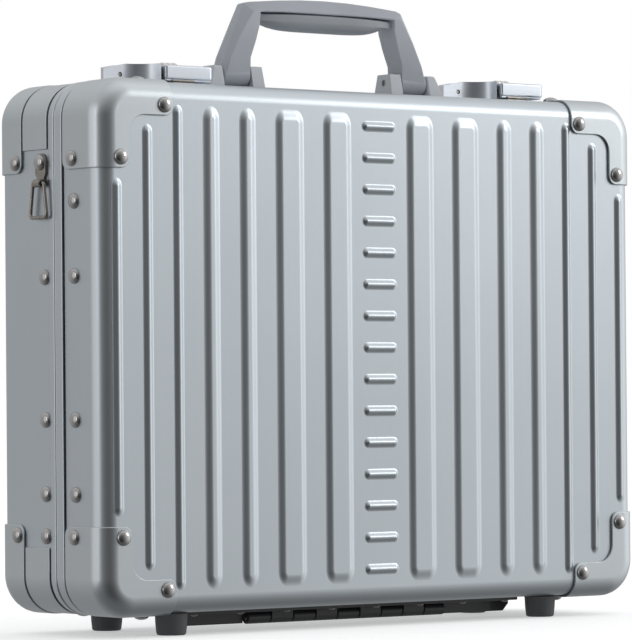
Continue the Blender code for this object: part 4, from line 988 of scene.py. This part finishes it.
def makeLever(name, node, body, side):
    # the lever's head, arm and hub; the pocket for the dials is carved through the head
    low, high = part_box(node)
    pin = Vector(joints[f"latch_lift_{side}"]["pos_m"])
    dials = [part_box(f"dial_{side}_{number}") for number in (1, 2, 3)]
    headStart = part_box(f"latch_body_{side}")[1].x + 0.0015
    headLow = Vector((headStart, low.y, caseTop + 0.0050))
    headHigh = Vector((high.x, high.y, caseTop + 0.0143))
    bm = bmesh.new()
    size = headHigh - headLow
    where = Matrix.Translation((headLow + headHigh) / 2) @ Matrix.Diagonal((*size, 1))
    bmesh.ops.create_cube(bm, size=1, matrix=where)
    corner = [edge for edge in bm.edges if all(abs(vert.co.x - headHigh.x) < 1e-6 for vert in edge.verts) and abs(edge.verts[0].co.z - edge.verts[1].co.z) > 0.001]
    softenEdges(bm, corner, latch["headRound"], 8)
    rims = [edge for edge in bm.edges if edge.calc_face_angle(0) > math.radians(50)]
    softenEdges(bm, rims, 0.0013, 4)
    head = scratchObject("leverHead", bm)
    tool = bmesh.new()
    softBlock(
        tool, (dials[0][0].x - 0.0006, dials[0][0].y - 0.0006, caseTop + 0.002),
        (dials[2][1].x + 0.0006, dials[0][1].y + 0.0006, caseTop + 0.03), 0.0004, 2,
    )
    carve(head, scratchObject("pocketTool", tool))
    bm = bmesh.new()
    bm.from_mesh(head.data)
    bpy.data.objects.remove(head)
    armFront, armBack = seam + latch["front"] + latch["wall"] + 0.0003, high.y - latch["wall"] - 0.0003
    under = (headLow.x + 0.0004, low.y + 0.0014, caseTop + 0.0036), (high.x - 0.0014, high.y - 0.001, headLow.z + 0.001)
    softBlock(bm, *under, 0.0009, 3)
    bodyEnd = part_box(f"latch_body_{side}")[1].x
    base, crown = pin.z - 0.0034, caseTop + latch["crown"] - 0.0005
    rise = (latch["crown"] - latch["lowEnd"]) / latch["humpAlong"]
    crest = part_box(f"latch_body_{side}")[0].x + latch["humpAlong"]
    outline = [(bodyEnd, base), (pin.x, base), (pin.x, crown - (crest - pin.x) * rise), (crest, crown), (bodyEnd, crown)]
    softPrism(bm, [(x, armFront, z) for x, z in outline], (0, armBack - armFront, 0), 0.0004, 2)
    softBlock(bm, (bodyEnd - 0.002, armFront, pin.z - 0.0034), (headStart + 0.002, armBack, pin.z + 0.0050), 0.0004, 2)
    hub = [(0, 0), (latch["lever"] - 0.0003, 0), (latch["lever"], 0.0003), (latch["lever"], armBack - armFront - 0.0003), (latch["lever"] - 0.0003, armBack - armFront), (0, armBack - armFront)]
    addTurned(bm, (pin.x, armFront, pin.z), (0, 1, 0), hub, 28)
    finishPiece(name, bm, body, "latch", [node], sharp=35)


def makeDial(name, node, body):
    # a combination wheel with finger notches round its rim
    low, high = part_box(node)
    centre = (low + high) / 2
    radius, wide = (high.z - low.z) / 2, high.x - low.x
    profile = [(0.0009, 0), (radius - 0.0007, 0), (radius - 0.0002, 0.0004), (radius, 0.0009)]
    profile += [(radius, wide - 0.0009), (radius - 0.0002, wide - 0.0004), (radius - 0.0007, wide), (0.0009, wide), (0.0009, 0)]
    bm = bmesh.new()
    addTurned(bm, (low.x, centre.y, centre.z), (1, 0, 0), profile, 40)
    for vert in bm.verts:
        out = Vector((0, vert.co.y - centre.y, vert.co.z - centre.z))
        if out.length > radius * 0.9:
            notch = max(0.0, math.cos(10 * math.atan2(out.z, out.y))) ** 4
            vert.co -= out.normalized() * 0.00045 * notch
    finishPiece(name, bm, body, "dial", [node], sharp=35)


def makeHasp(name, node, body):
    # the hasp under the lever head: its dark nickel colour is partly its own metal and partly painted shade, standing
    # for the shadow band under the head
    low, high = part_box(node)
    bm = bmesh.new()
    softBlock(bm, low, high, 0.0004, 3)
    finishPiece(name, bm, body, "dark", [node], sharp=35)


def makeKeeper(name, node, side):
    # a low block on the lid
    low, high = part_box(node)
    bm = bmesh.new()
    softBlock(bm, low, high, 0.0006, 3)
    finishPiece(name, bm, "lid", "dark", [node], sharp=35)


for sideName, side in sides:
    pin = Vector(joints[f"latch_lift_{sideName}"]["pos_m"])
    makeLatchBody(f"latchBody_{sideName}", f"latch_body_{sideName}", pin)
    makeLever(f"latchLever_{sideName}", f"latch_lever_{sideName}", f"latch_{sideName}", sideName)
    makePin(f"latchPin_{sideName}", f"latch_pin_{sideName}", f"latch_{sideName}", 1)
    makePin(f"dialAxle_{sideName}", f"dial_axle_{sideName}", f"latch_{sideName}", 0, "steel", 0.0001)
    makeHasp(f"latchHasp_{sideName}", f"latch_hasp_{sideName}", f"latch_{sideName}")
    makeKeeper(f"latchKeeper_{sideName}", f"latch_keeper_{sideName}", side)
    for number in (1, 2, 3):
        makeDial(f"dial_{sideName}{number}", f"dial_{sideName}_{number}", f"dial_{sideName}_{number}")
print("latches made")

strap = {"tabPlate": 0.0014, "tabRound": 0.0056, "eye": 0.0027, "wire": 0.0012, "bend": 0.0032, "rivet": 0.0048}


def makeStrapBracket(name, node, side):
    # a riveted tab with a round head, rolled into an eye at its foot
    low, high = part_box(node)
    x, y, z = joints[f"ring_swing_{name.split('_')[1]}"]["pos_m"]
    middle, half = (low.y + high.y) / 2, (high.y - low.y) / 2
    near = side * (halfWidth + case["gap"])
    bm = bmesh.new()
    round_ = strap["tabRound"]
    outline = [(middle - 0.00425, z), (middle - 0.00425, z + 0.0035), (middle - half, z + 0.0065)]
    outline += [(middle - half + round_ + u, high.z - round_ + v) for u, v in arcPoints((0, 0), round_, 180, 90, 6)]
    outline += [(middle + half - round_ + u, high.z - round_ + v) for u, v in arcPoints((0, 0), round_, 90, 0, 6)]
    outline += [(middle + half, z + 0.0065), (middle + 0.00425, z + 0.0035), (middle + 0.00425, z)]
    softPrism(bm, [(near, u, v) for u, v in outline], (side * strap["tabPlate"], 0, 0), 0.0004, 2)
    wide = 0.0085
    profile = [(0.0016, 0), (strap["eye"] - 0.0003, 0), (strap["eye"], 0.0003), (strap["eye"], wide - 0.0003), (strap["eye"] - 0.0003, wide), (0.0016, wide), (0.0016, 0)]
    addTurned(bm, (x, middle - wide / 2, z), (0, 1, 0), profile, 28)
    finishPiece(name, bm, "back_case", "dark", [node], sharp=35)
    bm = bmesh.new()
    addRivet(bm, (near + side * strap["tabPlate"], middle, high.z - 0.0058), (side, 0, 0))
    finishPiece(name + "Rivet", bm, "back_case", "rivet")


def makeRing(name, node, body):
    # bent wire, wider at its foot, with easy bends
    low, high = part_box(node)
    wire = strap["wire"]
    x, middle = (low.x + high.x) / 2, (low.y + high.y) / 2
    topHalf, footHalf = 0.00625, (high.y - low.y) / 2 - wire
    corners_ = [(topHalf, high.z - wire), (footHalf, low.z + wire), (-footHalf, low.z + wire), (-topHalf, high.z - wire)]
    curve = bpy.data.curves.new(name, "CURVE")
    curve.dimensions = "3D"
    curve.bevel_depth = wire
    curve.bevel_resolution = 5
    points = []
    for index, here in enumerate(corners_):
        here = Vector(here)
        bend = 0.0015 if index in (0, 3) else strap["bend"]
        before = (Vector(corners_[index - 1]) - here).normalized() * bend
        after = (Vector(corners_[(index + 1) % 4]) - here).normalized() * bend
        points += [here + before * (1 - t / 8) ** 2 + after * (t / 8) ** 2 for t in range(9)]
    spline = curve.splines.new("POLY")
    spline.points.add(len(points) - 1)
    for point, (y, z) in zip(spline.points, points):
        point.co = (x, middle + y, z, 1)
    spline.use_cyclic_u = True
    draft = bpy.data.objects.new("ringDraft", curve)
    bpy.context.scene.collection.objects.link(draft)
    mesh = bpy.data.meshes.new_from_object(draft.evaluated_get(bpy.context.evaluated_depsgraph_get()))
    bpy.data.objects.remove(draft)
    bm = bmesh.new()
    bm.from_mesh(mesh)
    finishPiece(name, bm, body, "dark", [node], sharp=60)


for sideName, side in sides:
    makeStrapBracket(f"strapBracket_{sideName}", f"strap_bracket_{sideName}", side)
    makeRing(f"strapRing_{sideName}", f"strap_ring_{sideName}", f"ring_{sideName}")
print("strap rings made")

inside = {"inset": 0.0100, "board": 0.0020, "stayWide": 0.0066, "studHead": 0.0036}


def makeLining(name, node, body, rim, face):
    # a thin tray of cloth-covered board with rolled rims
    low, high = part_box(node)
    sign = 1 if face > rim else -1
    outer, inner = inside["inset"], inside["inset"] + inside["board"]
    flat = face - sign * (case["sheet"] + case["gap"])
    profile = []
    for inset, level, radius in ((outer, flat, 0.004), (inner, flat - sign * inside["board"], 0.003)):
        arc = [(inset + radius - u, level - sign * (radius - v)) for u, v in arcPoints((0, 0), radius, 90, 0, 5)]
        profile.append(arc)
    lip = [(inset, rim + sign * 0.0006) for inset in (outer, inner)]
    middle = (outer + inner) / 2
    whole = profile[0] + [lip[0], (middle - 0.0005, rim), (middle + 0.0005, rim), lip[1]] + profile[1][::-1]
    bm = bmesh.new()
    sweepAround(bm, whole, closed=False)
    bmesh.ops.holes_fill(bm, edges=[edge for edge in bm.edges if edge.is_boundary], sides=0)
    finishPiece(name, bm, body, "cloth", [node], sharp=40)


def makeStud(name, node, body):
    low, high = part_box(node)
    y, z = (low.y + high.y) / 2, (low.z + high.z) / 2
    side = 1 if low.x > 0 else -1
    start = high.x if side > 0 else low.x
    long = high.x - low.x
    head = inside["studHead"]
    profile = [(0, 0), (0.0018, 0), (0.0018, long - 0.0015), (head - 0.0003, long - 0.0015), (head, long - 0.0012), (head, long - 0.0006)]
    profile += [(head * 0.7, long - 0.0001), (0, long)]
    bm = bmesh.new()
    addTurned(bm, (start, y, z), (-side, 0, 0), profile, 28)
    finishPiece(name, bm, body, "steel", [node], sharp=35)


def makeStay(name, node, body, side):
    # slotted steel strip with round ends and soft edges
    low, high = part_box(node)
    x, y, z = joints[f"stay_turn_{side}"]["pos_m"]
    half = inside["stayWide"] / 2
    outline = [(y + u, z + v) for u, v in arcPoints((0, 0), half, 90, 270, 12)]
    outline += [(high.y - half + u, z + v) for u, v in arcPoints((0, 0), half, -90, 90, 12)]
    bm = bmesh.new()
    softPrism(bm, [(low.x, u, v) for u, v in outline], (high.x - low.x, 0, 0), 0.0003, 2)
    strip = scratchObject("stayDraft", bm)
    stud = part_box(f"stay_stud_{side}")
    slot, studY = 0.0021, (stud[0].y + stud[1].y) / 2
    track = [(studY + u, z + v) for u, v in arcPoints((0, 0), slot, 90, 270, 10)]
    track += [(high.y - 0.002 - 2 * slot + slot + u, z + v) for u, v in arcPoints((0, 0), slot, -90, 90, 10)]
    tool = bmesh.new()
    softPrism(tool, [(low.x - 0.001, u, v) for u, v in track], (high.x - low.x + 0.002, 0, 0), 0)
    carve(strip, scratchObject("slotTool", tool))
    bm = bmesh.new()
    bm.from_mesh(strip.data)
    bpy.data.objects.remove(strip)
    finishPiece(name, bm, body, "steel", [node], sharp=35)


makeLining("lidLining", "front_lining", "lid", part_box("front_lining")[1].y, lidFace)
makeLining("backLining", "back_lining", "back_case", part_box("back_lining")[0].y, backFace)
for sideName, side in sides:
    makeStud(f"stayStud_{sideName}", f"stay_stud_{sideName}", "back_case")
    makeStud(f"stayPivot_{sideName}", f"stay_pivot_{sideName}", "lid")
    makeStay(f"lidStay_{sideName}", f"lid_stay_{sideName}", f"stay_{sideName}", sideName)
print("lining and stays made")

studio = {
    "eye": (-1.703, -2.2105, 0.1525),
    "yaw": -37.46,
    "pitch": 0.499,
    "roll": -0.456,
    "lens": 228.8,
    "shiftY": 0.071,
    "floorSize": 14.0,
}


def makeCamera():
    yaw, pitch, roll = (math.radians(studio[key]) for key in ("yaw", "pitch", "roll"))
    right = Vector((math.cos(yaw), math.sin(yaw), 0))
    level = Vector((-math.sin(yaw), math.cos(yaw), 0))
    ahead = level * math.cos(pitch) + Vector((0, 0, math.sin(pitch)))
    up = right.cross(ahead)
    tilted = right * math.cos(roll) + up * math.sin(roll)
    over = up * math.cos(roll) - right * math.sin(roll)
    camera = bpy.data.objects.new("studioCamera", bpy.data.cameras.new("studioCamera"))
    camera.matrix_world = Matrix.Translation(studio["eye"]) @ Matrix((tilted, over, -ahead)).transposed().to_4x4()
    camera.data.lens = studio["lens"]
    camera.data.sensor_width = 36
    camera.data.shift_y = studio["shiftY"]
    camera.data.clip_end = 60
    bpy.context.scene.collection.objects.link(camera)
    bpy.context.scene.camera = camera


def makeLight(name, spot, aim, size, power, colour=(1, 1, 1)):
    data = bpy.data.lights.new(name, "AREA")
    data.shape = "RECTANGLE"
    data.size, data.size_y = size
    data.energy = power
    data.color = colour
    light = bpy.data.objects.new(name, data)
    direction = Vector(aim) - Vector(spot)
    light.matrix_world = Matrix.Translation(spot) @ direction.to_track_quat("-Z", "Y").to_matrix().to_4x4()
    light.visible_camera = False
    bpy.context.scene.collection.objects.link(light)


def makeWorld():
    # white to the camera; for light and reflections bright to the right, with a lit panel at the far left
    world = bpy.data.worlds.new("studioWorld")
    bpy.context.scene.world = world
    world.use_nodes = True
    tree = world.node_tree
    tree.nodes.clear()
    spot = shaderNode(tree, "ShaderNodeTexCoord", output=0)
    parts = tree.nodes.new("ShaderNodeSeparateXYZ")
    tree.links.new(spot.socket, parts.inputs[0])
    x, y, z = (Wire(tree, output) for output in parts.outputs)
    right = ramp(tree, x * 0.93 - y * 0.30 + z * 0.20, -0.20, 1.0) ** 5
    left = ramp(tree, z * 0.10 - x * 0.96 + y * 0.20, 0.86, 0.96)
    above, behind, below = ramp(tree, z, 0.15, 0.9), ramp(tree, y, 0.0, 0.9), ramp(tree, 0 - z, 0.0, 0.6)
    front = ramp(tree, 0 - x * 0.35 - y * 0.94, 0.55, 1.0)
    level = 0.30 + right * 0.95 + left * 0.55 + above * 0.34 + behind * 0.20 - below * 0.14 - front * 0.20
    studioLight = shaderNode(tree, "ShaderNodeBackground", None, {"Color": level, "Strength": 1.0})
    white = shaderNode(tree, "ShaderNodeBackground", None, {"Color": (1, 1, 1, 1), "Strength": 1.0})
    seen = shaderNode(tree, "ShaderNodeLightPath")
    mixed = shaderNode(tree, "ShaderNodeMixShader", None, {0: seen, 1: studioLight, 2: white})
    out = tree.nodes.new("ShaderNodeOutputWorld")
    tree.links.new(mixed.socket, out.inputs[0])


def makeFloor():
    bm = bmesh.new()
    bmesh.ops.create_grid(bm, x_segments=1, y_segments=1, size=studio["floorSize"])
    mesh = bpy.data.meshes.new("studioFloor")
    bm.to_mesh(mesh)
    bm.free()
    floor = bpy.data.objects.new("studioFloor", mesh)
    bpy.context.scene.collection.objects.link(floor)
    glow = {"Emission_Color": (1, 1, 1, 1), "Emission_Strength": 0.42}
    material, tree, shader = startMaterial("paleFloor", (0.9, 0.9, 0.9), 0.8, 0.0, **glow)
    mesh.materials.append(material)
    floor.visible_glossy = False


makeCamera()
makeWorld()
makeFloor()
makeLight("keyPanel", (3.2, -2.6, 1.7), (0, 0, 0.25), (1.3, 1.6), 26)
makeLight("topPanel", (0.4, -0.6, 2.8), (0, 0, 0.3), (2.4, 2.0), 3)
makeLight("edgeStrip", (-2.9, -0.5, 0.7), (0, 0, 0.2), (0.30, 1.8), 4)
bpy.context.scene.view_settings.view_transform = "Standard"
print("studio ready")
